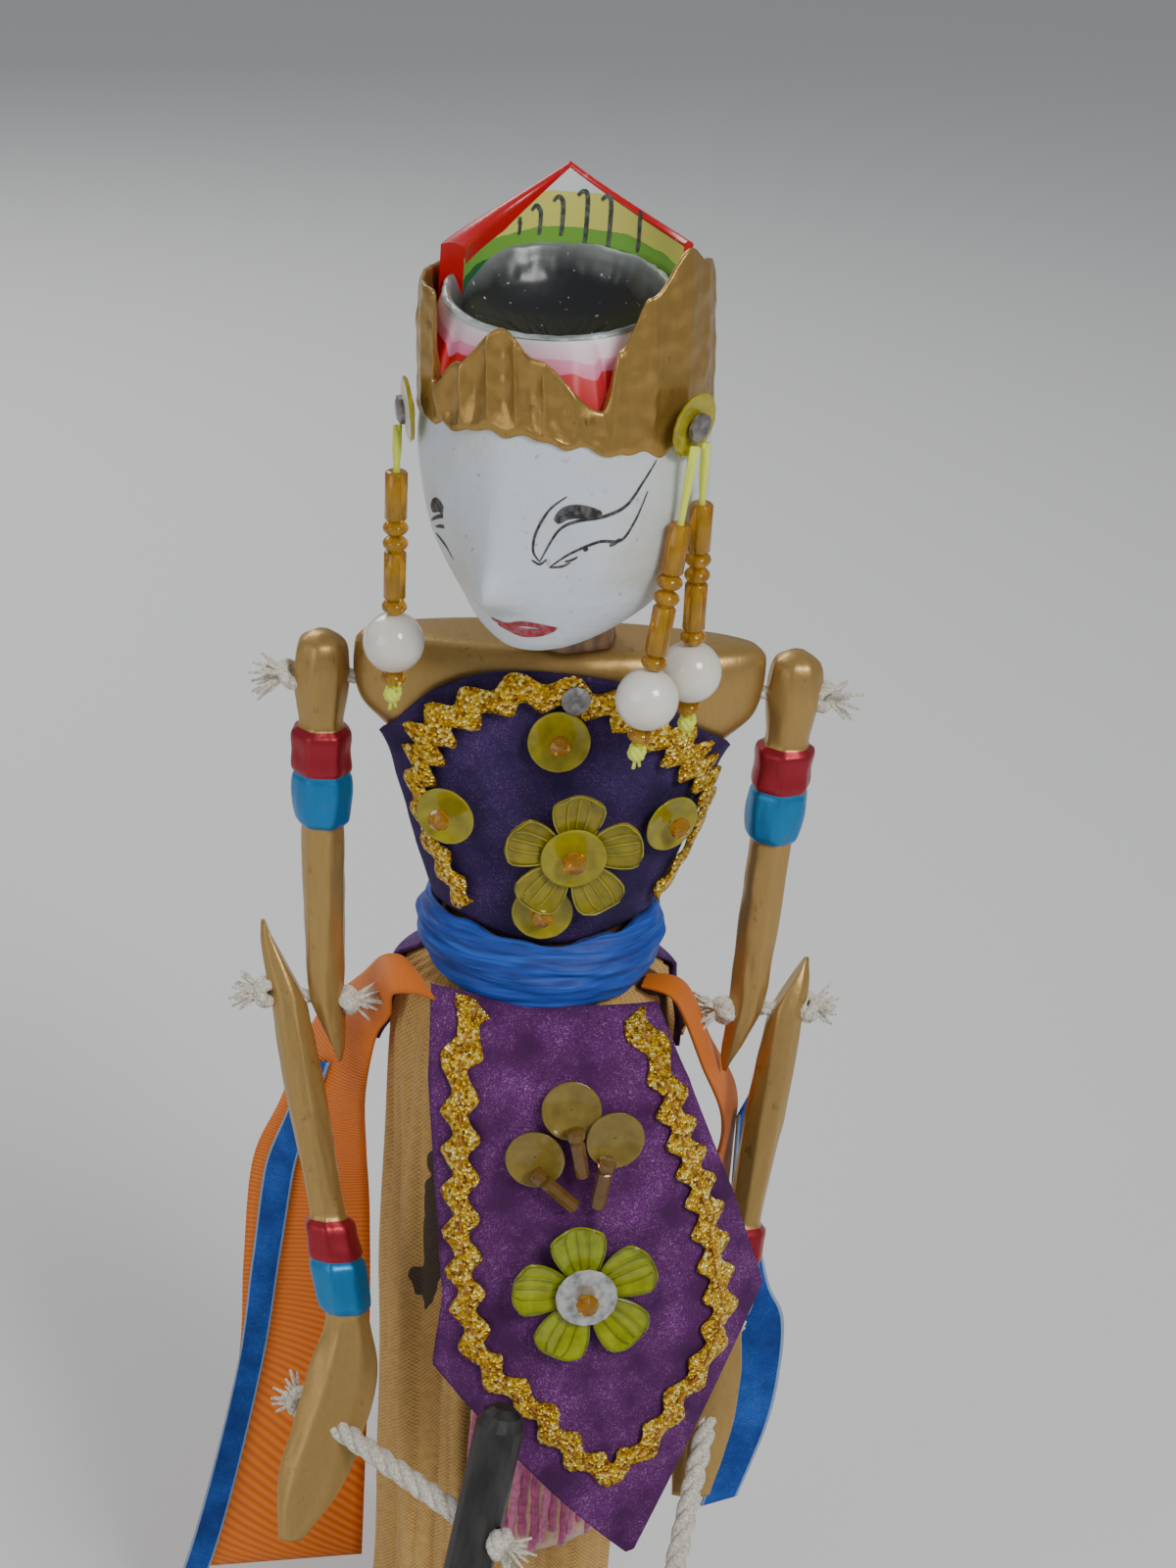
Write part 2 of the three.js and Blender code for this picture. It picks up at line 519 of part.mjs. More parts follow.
// angle, height above the waist, how far it stands off the velvet
const CHEST = {
  upper: [-0.02, 28.7, 0.45],
  left: [0.78, 16.7, 0.45],
  right: [-0.68, 17.4, BRAID + 0.8],
  waist: [-0.06, 4.4, 0.45],
};
for (const [name, [angle, up, off]] of Object.entries(CHEST)) {
  add("chest_sequin_" + name, onSeat(sequinForm(SEQUIN_R), torsoAt, angle, up, chestOff + off), 0xb9b14a);
  add("chest_bead_" + name, onSeat(beadForm(1.5), torsoAt, angle, up, chestOff + off + 1.05), 0xc98a2c);
}

// Five-petal flower sequins, one petal pointing up
function flowerForm(radius, thick) {
  const edge = (z) =>
    around(30, (t) => {
      const petal = Math.abs(Math.cos(2.5 * (t - THREE.MathUtils.degToRad(84)))) ** 0.4;
      const r = radius * (0.5 + 0.5 * petal);
      return [r * Math.cos(t), r * Math.sin(t), z];
    });
  return loft([circle(1, 0, 30), edge(0), edge(thick), circle(1, thick, 30)]);
}
const CHEST_FLOWER = [0.095, 13.9];
add("chest_flower", onSeat(flowerForm(9.2, 0.7), torsoAt, ...CHEST_FLOWER, chestOff + 2.2), 0xd8d4bc);
add("chest_flower_bead", onSeat(beadForm(1.7), torsoAt, ...CHEST_FLOWER, chestOff + 3.2), 0xc98a2c);

// Apron: a stiff velvet shield, turned towards the puppet's left and standing off the skirt
const APRON_TURN = THREE.MathUtils.degToRad(11.7);
const APRON_TOP = SASH_FOOT - 0.5;
const APRON_CORNER = 47.5;
// distance down, then its two edges across, the puppet's right first
// The left edge stops short of the forearm, so that the arm can swing past it
const APRON_EDGES = [
  [0, -15.2, 16], [8, -17, 18.4], [37, -19.6, 19.5], [APRON_CORNER, -22.7, 16.1], [80.7, -0.5, 0.7],
];
const apronEdge = (down, column) => {
  const i = Math.max(1, APRON_EDGES.findIndex(([d]) => d >= down - 0.001));
  const [a, b] = [APRON_EDGES[i - 1], APRON_EDGES[i]];
  return THREE.MathUtils.lerp(a[column], b[column], (down - a[0]) / (b[0] - a[0]));
};
const apronAt = (across, down, off) => {
  const x = across * Math.cos(APRON_TURN) + down * Math.sin(APRON_TURN) - 0.2;
  const fall = down * Math.cos(APRON_TURN) * 0.97 - across * Math.sin(APRON_TURN) * Math.min(1, down / 30);
  const bulge = 1 - (1 - Math.min(1, down / 12)) ** 2;
  const ahead = 13.3 + 11.2 * bulge + 0.17 * Math.max(0, down - 12) - (x - 4) ** 2 / 80;
  return [x, -ahead - off, WAIST + APRON_TOP - Math.max(0, fall)];
};
const APRON_ROWS = 17;
add("apron_panel",
  sheet(APRON_ROWS, 8, (u, v, back) => {
    const down = u < 10 / APRON_ROWS
      ? (u * APRON_ROWS * APRON_CORNER) / 10
      : THREE.MathUtils.lerp(APRON_CORNER, 80.7, (u * APRON_ROWS - 10) / (APRON_ROWS - 10));
    return apronAt(THREE.MathUtils.lerp(apronEdge(down, 1), apronEdge(down, 2), v), down, back ? 0 : CLOTH + 0.2);
  }), 0x56264e);
const apronOff = CLOTH + 0.2 + GAP;
const APRON_BRAID = [
  [-8.9, 0.3], [-12.2, 5.4], [-13.7, 14.6], [-15.5, 26.5], [-16.3, 40.6], [-14.7, 47.3], [-9.6, 53.6],
  [-5.9, 60.5], [-0.8, 65.7], [4.2, 62.9], [7.2, 58.2], [9.8, 53.4], [12.2, 47.6], [13.6, 40.1],
  [16, 28], [15.7, 13.4], [15.1, 6.6], [12.6, 0.3],
];
add("apron_braid",
  braid(APRON_BRAID, 52, (across, down, off) => apronAt(across, Math.max(0, down), apronOff + 0.15 + off)), 0xc9a227);

// Apron sequins: across, down, standing off; each bead with its bugle lies down towards a point
const APRON_SEQUINS = [[1.8, 9.8, 0.1], [-4, 16.6, 0.1], [6.9, 13.9, 1.1]];
const APRON_DROPS = [[1.9, 10.8, 1.9, 19.1, 3], [-4.5, 17.1, 0.3, 23.6, 2.6], [5.7, 15.3, 3.2, 24, 3.6]];
const onApron = (geometry, across, down, off) => {
  const at = (x, d) => vec(...apronAt(x, d, apronOff + off));
  const p = at(across, down);
  const du = at(across + 0.4, down).sub(at(across - 0.4, down));
  const dv = at(across, down - 0.4).sub(at(across, down + 0.4));
  return aimed(geometry, p, p.clone().add(du.cross(dv).normalize()));
};
const BUGLE_R = 1;
APRON_SEQUINS.forEach(([across, down, off], i) => {
  add("apron_sequin_" + (i + 1),
    onApron(turned([[0.9, 0], [3.4, 0.3], [3.7, 0.7], [1, 0.8]], 14), across, down, off), 0x6b4a2b);
  const [x0, d0, x1, d1, high] = APRON_DROPS[i];
  const from = vec(...apronAt(x0, d0, apronOff + high));
  const to = vec(...apronAt(x1, d1, apronOff + BUGLE_R + 0.2));
  const long = from.distanceTo(to);
  add("apron_drop_" + (i + 1),
    aimed(turned([[0.5, 0], [1.2, 0.4], [1.2, 1.5], [0.6, 2], [BUGLE_R, 2.3], [BUGLE_R, long - 0.3], [0.5, long]], 8),
      from, to), 0x5d3a1f);
});
const APRON_FLOWER = [-0.2, 36.8];
add("apron_flower", onApron(flowerForm(10, 0.7), ...APRON_FLOWER, 0.4), 0xb8c04a);
add("apron_flower_disc",
  onApron(turned([[0.8, 0], [4, 0.4], [4.2, 0.7], [1, 0.8]], 16), ...APRON_FLOWER, 1.4), 0xa7aaa8);
add("apron_flower_bead", onApron(beadForm(1.6), ...APRON_FLOWER, 2.5), 0xc98a2c);

// Fringe under the apron's tip
const FRINGE_OFF = 0.7;
add("fringe",
  sheet(36, 2, (u, v, back) => {
    const ridge = 0.25 * Math.cos(36 * Math.PI * u);
    const off = back ? FRINGE_OFF - 0.1 : FRINGE_OFF + 0.6 + ridge;
    return skirtAt(THREE.MathUtils.lerp(-0.3, 1, u), -62 - 38 * v, off);
  }), 0xb0235e);

// Back flap with its braid, seen behind both hips
const BACK_FROM = 1.75;
const BACK_UPS = [-9, -11.5, -15, -20, -26];
const BACK_OFF = 0.7;
const backAt = (u, up, off) => skirtAt(THREE.MathUtils.lerp(BACK_FROM, 2 * Math.PI - BACK_FROM, u), up, off);
add("back_panel", sheet(24, BACK_UPS.length - 1, (u, v, back) =>
  backAt(u, BACK_UPS[Math.round(v * (BACK_UPS.length - 1))], back ? BACK_OFF : BACK_OFF + CLOTH)), 0x4a2a63);
add("back_braid", sheet(32, 1, (u, v, back) =>
  backAt(0.02 + 0.96 * u, -21 - BRAID_WIDE * v, BACK_OFF + CLOTH + GAP + (back ? 0.1 : BRAID))), 0xc9a227);

// Orange ribbon: over the hip from under the sash, then down behind the arm
// The strip lies between two edge paths; part() gives the share of its width it takes
function strip(edges, rows, thick, part = () => [0, 1], start = 0, off = 0) {
  const [a, b] = edges.map((path) => new THREE.CatmullRomCurve3(path.map(([x, y, z]) => vec(x, y, WAIST + z))));
  return sheet(rows, 3, (u, v, back) => {
    const k = THREE.MathUtils.lerp(start, 1, u);
    const [from, to] = part(u);
    const w = THREE.MathUtils.lerp(from, to, v);
    const [p, q] = [a.getPoint(k), b.getPoint(k)];
    const along = a.getTangent(k).lerp(b.getTangent(k), w);
    const normal = along.cross(q.clone().sub(p)).normalize();
    const at = p.lerp(q, w).addScaledVector(normal, off + (back ? 0 : thick));
    return [at.x, at.y, at.z];
  });
}
const ORANGE_RIGHT = [
  [[-14.6, -12.8, -8.9], [-17, -11, -9.2], [-20.3, -8, -11.5], [-20.6, -5.4, -16.5], [-22.3, -3, -21.8],
    [-23.3, 0, -33], [-22.6, 6, -47], [-21.5, 11, -62], [-20.5, 15, -90], [-20, 18, -138]],
  [[-17, -5.5, -8.9], [-19, -1.5, -9.1], [-21.6, 1.5, -11], [-24, 7, -17], [-30.5, 11, -27],
    [-35.5, 14.5, -44], [-39.5, 15.5, -56], [-40.6, 15.5, -75], [-41.3, 15.5, -97], [-46.7, 15, -138]],
];
const ORANGE_LEFT = [
  [[13.6, -8.6, -9], [17.4, -9.8, -9.6], [19.9, -8.8, -13.8], [23.6, -6, -23], [28, -2.5, -34],
    [28.5, 2, -46], [26, 9, -70], [25.5, 13, -98]],
  [[14.8, -5.4, -9], [18.8, -5.4, -9.4], [21.6, -3.6, -13.3], [25.4, 1.5, -23], [30.8, 5, -33.8],
    [32, 8, -46], [33.3, 12, -74], [34, 14, -100]],
];
const BLUE_LEFT = [
  [[31, 1, -36], [33, 6, -60], [35, 9, -74], [37.2, 10, -82], [38.3, 10, -92], [37.6, 10, -103], [35, 10, -119]],
  [[33.5, 6.5, -36], [37.5, 9.5, -60], [41, 10.3, -73], [44.3, 10.3, -80], [45, 10.3, -91],
    [44.2, 10.3, -102], [40.9, 10.3, -117]],
];
add("orange_ribbon_left", strip(ORANGE_LEFT, 24, 0.7), 0xc8742c);
add("orange_ribbon_right", strip(ORANGE_RIGHT, 24, -0.7), 0xc8742c);
add("blue_ribbon_left", strip(BLUE_LEFT, 14, 0.9), 0x24408f);
// The right one lies on the orange ribbon and drifts to its outer edge
add("blue_ribbon_right",
  strip(ORANGE_RIGHT, 14, -0.9, (u) => [0.46 + 0.3 * u + 0.2 * u * u, 0.8 + 0.12 * u + 0.2 * u * u], 0.5, -1.1), 0x24408f);

export default group;
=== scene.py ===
import json
import math
import random

import bpy
from mathutils import Matrix, Vector, noise


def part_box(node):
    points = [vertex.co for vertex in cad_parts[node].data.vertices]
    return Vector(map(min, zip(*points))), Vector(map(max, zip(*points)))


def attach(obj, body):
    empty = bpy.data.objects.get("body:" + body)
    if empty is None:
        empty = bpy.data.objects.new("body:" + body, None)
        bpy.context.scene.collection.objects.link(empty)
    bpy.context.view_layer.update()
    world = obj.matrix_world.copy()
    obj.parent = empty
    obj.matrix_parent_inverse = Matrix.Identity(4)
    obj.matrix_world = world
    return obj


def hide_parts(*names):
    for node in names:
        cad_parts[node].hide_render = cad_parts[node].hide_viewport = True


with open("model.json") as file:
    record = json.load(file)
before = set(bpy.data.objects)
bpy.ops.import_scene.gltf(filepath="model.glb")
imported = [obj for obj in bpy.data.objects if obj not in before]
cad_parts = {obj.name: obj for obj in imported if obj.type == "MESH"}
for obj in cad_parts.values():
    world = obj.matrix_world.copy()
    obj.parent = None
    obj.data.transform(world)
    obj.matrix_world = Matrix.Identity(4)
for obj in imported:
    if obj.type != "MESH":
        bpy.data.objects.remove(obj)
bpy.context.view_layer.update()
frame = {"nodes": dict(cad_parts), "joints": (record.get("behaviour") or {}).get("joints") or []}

# Camera, at the photograph's viewing angle. It is placed so that the middle of the
# chest falls where the photograph shows it.
MM = 0.001
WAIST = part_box("waist_sash")[1].z / MM - 0.8
AZIMUTH, ELEVATION, ROLL = (math.radians(a) for a in (-6.5, 26, 5))
FOCAL_PX, PICTURE_W, PICTURE_H = 2400, 1200, 1600
CHEST_PX = Vector((582, 870))
CHEST_DEPTH = 306 * MM
chest = Vector((1.9, -13, WAIST + 13.8)) * MM
back = Vector((
    math.sin(AZIMUTH) * math.cos(ELEVATION),
    -math.cos(AZIMUTH) * math.cos(ELEVATION),
    math.sin(ELEVATION),
))
level = Vector((math.cos(AZIMUTH), math.sin(AZIMUTH), 0))
rise = back.cross(level)
right = level * math.cos(ROLL) + rise * math.sin(ROLL)
up = rise * math.cos(ROLL) - level * math.sin(ROLL)
across = (CHEST_PX.x - PICTURE_W / 2) / FOCAL_PX
above = (PICTURE_H / 2 - CHEST_PX.y) / FOCAL_PX
camera_data = bpy.data.cameras.new("camera")
camera_data.sensor_fit = "VERTICAL"
camera_data.sensor_height = 36
camera_data.lens = FOCAL_PX / PICTURE_H * 36
camera_data.clip_start = 0.01
camera = bpy.data.objects.new("camera", camera_data)
bpy.context.scene.collection.objects.link(camera)
place = chest - CHEST_DEPTH * (right * across + up * above - back)
camera.matrix_world = Matrix((
    (right.x, up.x, back.x, place.x),
    (right.y, up.y, back.y, place.y),
    (right.z, up.z, back.z, place.z),
    (0, 0, 0, 1),
))
bpy.context.scene.camera = camera


# Floor and studio light: a plain pale ground and three soft lamps.
def mesh_object(name, points, faces, uvs=None):
    data = bpy.data.meshes.new(name)
    data.from_pydata([Vector(p) * MM for p in points], [], faces)
    if uvs:
        layer = data.uv_layers.new(name="uv")
        for loop in data.loops:
            layer.data[loop.index].uv = uvs[loop.vertex_index]
    data.shade_smooth()
    data.update()
    obj = bpy.data.objects.new(name, data)
    bpy.context.scene.collection.objects.link(obj)
    return obj


def put(tree, kind, inputs=None, **settings):
    made = tree.nodes.new(kind)
    for key, value in settings.items():
        setattr(made, key, value)
    for key, value in (inputs or {}).items():
        if isinstance(value, bpy.types.NodeSocket):
            tree.links.new(value, made.inputs[key])
        else:
            made.inputs[key].default_value = value
    return made


def finish_of(name, colour, roughness=0.6, **sockets):
    made = bpy.data.materials.new(name)
    made.use_nodes = True
    shader = made.node_tree.nodes["Principled BSDF"]
    shader.inputs["Base Color"].default_value = (*colour, 1)
    shader.inputs["Roughness"].default_value = roughness
    for key, value in sockets.items():
        shader.inputs[key.replace("_", " ")].default_value = value
    return made


FLOOR_HALF = 5000
floor = mesh_object(
    "floor",
    [(-FLOOR_HALF, -FLOOR_HALF, -0.2), (FLOOR_HALF, -FLOOR_HALF, -0.2),
     (FLOOR_HALF, FLOOR_HALF, -0.2), (-FLOOR_HALF, FLOOR_HALF, -0.2)],
    [(0, 1, 2, 3)],
)
floor.data.materials.append(finish_of("pale_floor", (0.78, 0.78, 0.77), 0.9))
world = bpy.data.worlds.new("studio")
bpy.context.scene.world = world
world.use_nodes = True
world.node_tree.nodes["Background"].inputs["Color"].default_value = (0.92, 0.95, 1, 1)
world.node_tree.nodes["Background"].inputs["Strength"].default_value = 0.3
LAMPS = {
    "key": ((0.45, -0.7, 0.95), 0.35, 7.5),
    "fill": ((-0.8, -0.6, 0.5), 0.6, 2),
    "rim": ((-0.4, 0.8, 0.8), 0.5, 5),
}
for name, (spot, size, power) in LAMPS.items():
    lamp = bpy.data.lights.new(name, "AREA")
    lamp.size, lamp.energy = size, power
    holder = bpy.data.objects.new(name, lamp)
    bpy.context.scene.collection.objects.link(holder)
    holder.location = spot
    aim = Vector((0, 0, WAIST * MM)) - holder.location
    holder.rotation_euler = aim.to_track_quat("-Z", "Y").to_euler()


# Stand block and central rod: turned dark-stained wood and a bare whittled rod.
# Both are CAD solids that keep their shape and get their grain here.
def group_of(name, inputs, outputs):
    tree = bpy.data.node_groups.new(name, "ShaderNodeTree")
    for key, kind, value in inputs:
        socket = tree.interface.new_socket(key, in_out="INPUT", socket_type=kind)
        socket.default_value = value
    for key, kind in outputs:
        tree.interface.new_socket(key, in_out="OUTPUT", socket_type=kind)
    return tree, put(tree, "NodeGroupInput"), put(tree, "NodeGroupOutput")


def mixed(tree, factor, a, b, blend="MIX"):
    made = put(tree, "ShaderNodeMix", {0: factor, 6: a, 7: b}, data_type="RGBA", blend_type=blend)
    return made.outputs[2]


def math_of(tree, operation, a, b=0.0, clamp=False):
    made = put(tree, "ShaderNodeMath", {0: a, 1: b}, operation=operation, use_clamp=clamp)
    return made.outputs[0]


def ramp_of(tree, factor, stops, interpolation="LINEAR"):
    made = put(tree, "ShaderNodeValToRGB", {"Fac": factor})
    made.color_ramp.interpolation = interpolation
    while len(made.color_ramp.elements) < len(stops):
        made.color_ramp.elements.new(0.5)
    for element, (position, colour) in zip(made.color_ramp.elements, stops):
        element.position = position
        element.color = colour if len(colour) == 4 else (*colour, 1)
    return made.outputs["Color"]


def place_of(tree):
    return put(tree, "ShaderNodeTexCoord").outputs["Object"]


def noise_of(tree, scale, detail, where=None, distortion=0.0):
    where = place_of(tree) if where is None else where
    made = put(tree, "ShaderNodeTexNoise",
               {"Vector": where, "Scale": scale, "Detail": detail, "Distortion": distortion})
    return made.outputs["Fac"]


def scaled_by(tree, where, share):
    made = put(tree, "ShaderNodeVectorMath", {0: where, 1: share}, operation="MULTIPLY")
    return made.outputs[0]


def grain_group():
    tree, given, out = group_of(
        "wood_grain",
        [("Light", "NodeSocketColor", (0.5, 0.36, 0.2, 1)),
         ("Dark", "NodeSocketColor", (0.2, 0.12, 0.06, 1)),
         ("Stretch", "NodeSocketVector", (900, 900, 60))],
        [("Color", "NodeSocketColor"), ("Height", "NodeSocketFloat")],
    )
    stretched = put(tree, "ShaderNodeVectorMath", {0: place_of(tree), 1: given.outputs["Stretch"]},
                    operation="MULTIPLY").outputs[0]
    fibre = noise_of(tree, 1.0, 6.0, stretched)
    tone = ramp_of(tree, fibre, [(0.35, (0, 0, 0)), (0.65, (1, 1, 1))])
    colour = mixed(tree, tone, given.outputs["Dark"], given.outputs["Light"])
    tree.links.new(colour, out.inputs["Color"])
    tree.links.new(fibre, out.inputs["Height"])
    return tree


WOOD_GRAIN = grain_group()


def bumped(made, height, strength, distance):
    tree = made.node_tree
    bump = put(tree, "ShaderNodeBump", {"Height": height, "Strength": strength, "Distance": distance * MM})
    tree.links.new(bump.outputs["Normal"], tree.nodes["Principled BSDF"].inputs["Normal"])


def shade(made, socket, value):
    made.node_tree.links.new(value, made.node_tree.nodes["Principled BSDF"].inputs[socket])


def grained(name, light, dark, roughness, stretch=(900, 900, 60), depth=0.12):
    made = finish_of(name, light, roughness)
    grain = put(made.node_tree, "ShaderNodeGroup", node_tree=WOOD_GRAIN)
    grain.inputs["Light"].default_value = (*light, 1)
    grain.inputs["Dark"].default_value = (*dark, 1)
    grain.inputs["Stretch"].default_value = stretch
    shade(made, "Base Color", grain.outputs["Color"])
    bumped(made, grain.outputs["Height"], 0.5, depth)
    return made


def paint_node(node, made):
    obj = frame["nodes"][node]
    obj.data.materials.clear()
    obj.data.materials.append(made)
    return obj


paint_node("stand_block", grained("stained_block", (0.16, 0.09, 0.05), (0.05, 0.03, 0.02), 0.45,
                                  (160, 900, 900)))
paint_node("central_rod", grained("bare_rod", (0.42, 0.3, 0.18), (0.24, 0.16, 0.09), 0.65))


# Torso and arms: carved softwood under thin gold-bronze paint, worn through to a dark
# brown in patches, with a crimson and a sky-blue band on each arm part.
def worn_group():
    tree, given, out = group_of(
        "worn_paint",
        [("Paint", "NodeSocketColor", (0.5, 0.36, 0.12, 1)),
         ("Under", "NodeSocketColor", (0.14, 0.09, 0.05, 1)),
         ("Wear", "NodeSocketFloat", 0.4), ("Size", "NodeSocketFloat", 260)],
        [("Color", "NodeSocketColor"), ("Mask", "NodeSocketFloat"), ("Height", "NodeSocketFloat")],
    )
    where = place_of(tree)
    patches = put(tree, "ShaderNodeTexNoise",
                  {"Vector": where, "Scale": given.outputs["Size"], "Detail": 8.0,
                   "Roughness": 0.65}).outputs["Fac"]
    strokes = scaled_by(tree, where, (1800, 1800, 180))
    brushed = noise_of(tree, 1.0, 4.0, strokes)
    both = math_of(tree, "ADD", math_of(tree, "MULTIPLY", patches, 0.7),
                   math_of(tree, "MULTIPLY", brushed, 0.3))
    worn = math_of(tree, "MULTIPLY", math_of(tree, "SUBTRACT", given.outputs["Wear"], both), 9.0,
                   clamp=True)
    colour = mixed(tree, worn, given.outputs["Paint"], given.outputs["Under"])
    dusky = mixed(tree, math_of(tree, "MULTIPLY", brushed, 0.3), colour, (0.3, 0.24, 0.16, 1), "MULTIPLY")
    tree.links.new(dusky, out.inputs["Color"])
    tree.links.new(worn, out.inputs["Mask"])
    tree.links.new(both, out.inputs["Height"])
    return tree


WORN_PAINT = worn_group()
GILT, GILT_UNDER = (0.5, 0.315, 0.1), (0.22, 0.12, 0.04)
CRIMSON, SKY = (0.38, 0.02, 0.035), (0.02, 0.24, 0.55)


def worn(name, paint, under, wear, size=260, roughness=0.5, depth=0.15, **sockets):
    made = finish_of(name, paint, roughness, **sockets)
    group = put(made.node_tree, "ShaderNodeGroup", node_tree=WORN_PAINT)
    for key, value in (("Paint", (*paint, 1)), ("Under", (*under, 1)), ("Wear", wear), ("Size", size)):
        group.inputs[key].default_value = value
    shade(made, "Base Color", group.outputs["Color"])
    bumped(made, group.outputs["Height"], 0.6, depth)
    return made, group


gilt, _ = worn("gilt_wood", GILT, GILT_UNDER, 0.41, roughness=0.36, Metallic=0.65)


def banded(name, origin, axis, bands):
    made, group = worn(name, GILT, GILT_UNDER, 0.41, roughness=0.38, Metallic=0.6)
    tree = made.node_tree
    apart = put(tree, "ShaderNodeVectorMath", {0: place_of(tree), 1: tuple(origin)}, operation="SUBTRACT")
    along = put(tree, "ShaderNodeVectorMath", {0: apart.outputs[0], 1: tuple(axis)},
                operation="DOT_PRODUCT")
    paint = put(tree, "ShaderNodeRGB").outputs[0]
    paint.default_value = (*GILT, 1)
    for low, high, colour in bands:
        over = math_of(tree, "GREATER_THAN", along.outputs["Value"], low * MM)
        below = math_of(tree, "LESS_THAN", along.outputs["Value"], high * MM)
        paint = mixed(tree, math_of(tree, "MULTIPLY", over, below), paint, (*colour, 1))
    tree.links.new(paint, group.inputs["Paint"])
    return made


def flowing(table, key, column=1):
    """Smooth value through the stations, rows that begin with their key."""
    key = max(table[0][0], min(table[-1][0], key))
    i = 0
    while i < len(table) - 2 and table[i + 1][0] < key:
        i += 1
    last = len(table) - 1

    def slope(j):
        a, b = table[max(0, j - 1)], table[min(last, j + 1)]
        return (b[column] - a[column]) / (b[0] - a[0])

    (k0, v0), (k1, v1) = ((table[j][0], table[j][column]) for j in (i, i + 1))
    h = k1 - k0
    t = (key - k0) / h
    return v0 + t * t * (3 - 2 * t) * (v1 - v0) + h * t * (1 - t) * ((1 - t) * slope(i) - t * slope(i + 1))


def grid_piece(name, rows, cols, at, made, closed=False, thickness=0.0, capped=False):
    points, faces, uvs = [], [], []
    wide = cols if closed else cols + 1
    for i in range(rows + 1):
        for j in range(wide):
            points.append(at(i / rows, j / cols))
            uvs.append((j / cols, i / rows))
    for i in range(rows):
        for j in range(cols):
            n = (j + 1) % wide
            faces.append((i * wide + j, i * wide + n, (i + 1) * wide + n, (i + 1) * wide + j))
    if capped:
        faces.append(tuple(reversed(range(wide))))
        faces.append(tuple(range(rows * wide, (rows + 1) * wide)))
    obj = mesh_object(name, points, faces, uvs)
    obj.data.materials.append(made)
    if thickness:
        solid = obj.modifiers.new("thickness", "SOLIDIFY")
        solid.thickness, solid.offset = abs(thickness) * MM, -1.0 if thickness > 0 else 1.0
    return obj


TORSO_A = [(-10, 11), (-4, 12), (1, 13.7), (8, 16.3), (18, 19.4), (24.5, 21.8), (29.5, 26.2), (37, 27),
           (39, 25.5)]
TORSO_B = [(-10, 8.4), (-4, 9), (8, 9.2), (18, 9.6), (26, 8.6), (32, 7.8), (37, 7.2), (39, 5.8)]


def torso_at(angle, height, off=0.0):
    return Vector((
        (flowing(TORSO_A, height) + off) * math.sin(angle),
        -(flowing(TORSO_B, height) + off) * math.cos(angle),
        WAIST + height,
    ))


def torso_skin(v, u):
    angle = 2 * math.pi * u
    share = min(1, max(0, v * 1.12 - 0.06))
    inset = 1 - min(1, v / 0.06, (1 - v) / 0.06)
    height = -10 + 49 * share
    cut = 0.22 * noise.noise(Vector((3 * math.sin(angle), 3 * math.cos(angle), height * 0.16)))
    p = torso_at(angle, height, cut)
    axis = Vector((0, 0, p.z))
    return p.lerp(axis, 0.84 * inset)


torso = grid_piece("torso_carving", 84, 120, torso_skin, gilt, closed=True, capped=True)
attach(torso, "puppet")
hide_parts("torso")

# Arms: lean in degrees of upper arm and forearm, spike above the elbow, outward bend
# of the hand, and the hand's own stations from wrist to fingertips
UPPER_LONG = 48
ARMS = {
    "left": (1.8, 8.2, 7.5, 0, [(-70.5, -2.2, 2.8, 1.2), (-62, -1.2, 4.2, 2), (-53, -0.4, 4.3, 2.4)]),
    "right": (2.6, 12, 10.5, 14.6,
              [(-76.5, -4.2, 1.8, 1.1), (-69, -2.6, 4.8, 2), (-61, -1.4, 5.3, 2.4), (-53, -0.6, 4.9, 2.6)]),
}
UPPER_R = [(-58, 0.9), (-54, 1.7), (-48, 2.5), (-34, 2.9), (-22, 3), (-21.3, 3), (-20.6, 3.75),
           (-17.5, 4.15),
           (-14.2, 4.05), (-13.6, 3.75), (-13, 4.15), (-10.5, 4), (-7.8, 4.05), (-7.1, 3.1), (-4, 3.3),
           (-1, 3.7),
           (2, 3.7), (4.8, 3), (6, 1.2)]
FORE_R = [(-45, 0, 3, 2.8), (-44, 0, 3.7, 3.7), (-41, 0, 4, 4), (-37.5, 0, 3.95, 3.95), (-37, 0, 3.5, 3.5),
          (-36.5, 0, 3.9, 3.9), (-34, 0, 3.75, 3.75), (-32, 0, 3.6, 3.6), (-31, 0, 2.6, 2.8),
          (-14, 0, 2.9, 2.9),
          (0, 0, 2.5, 2.5), (4, 0, 2, 2)]


def lap(beyond):
    return 1.2 * max(0.0, min(1.0, beyond / 8))


def tilted(origin, degrees, x, y, z):
    turn = math.radians(degrees)
    return origin + Vector((x, y * math.cos(turn) - z * math.sin(turn),
                            y * math.sin(turn) + z * math.cos(turn)))


def whittled(seed, angle, z):
    flats = 0.1 * abs(math.sin(3.5 * angle + 0.05 * z + seed))
    return 1 - flats * 0.6 + 0.05 * noise.noise(Vector((2 * math.sin(angle), 2 * math.cos(angle) + seed,
                                                        z * 0.22)))


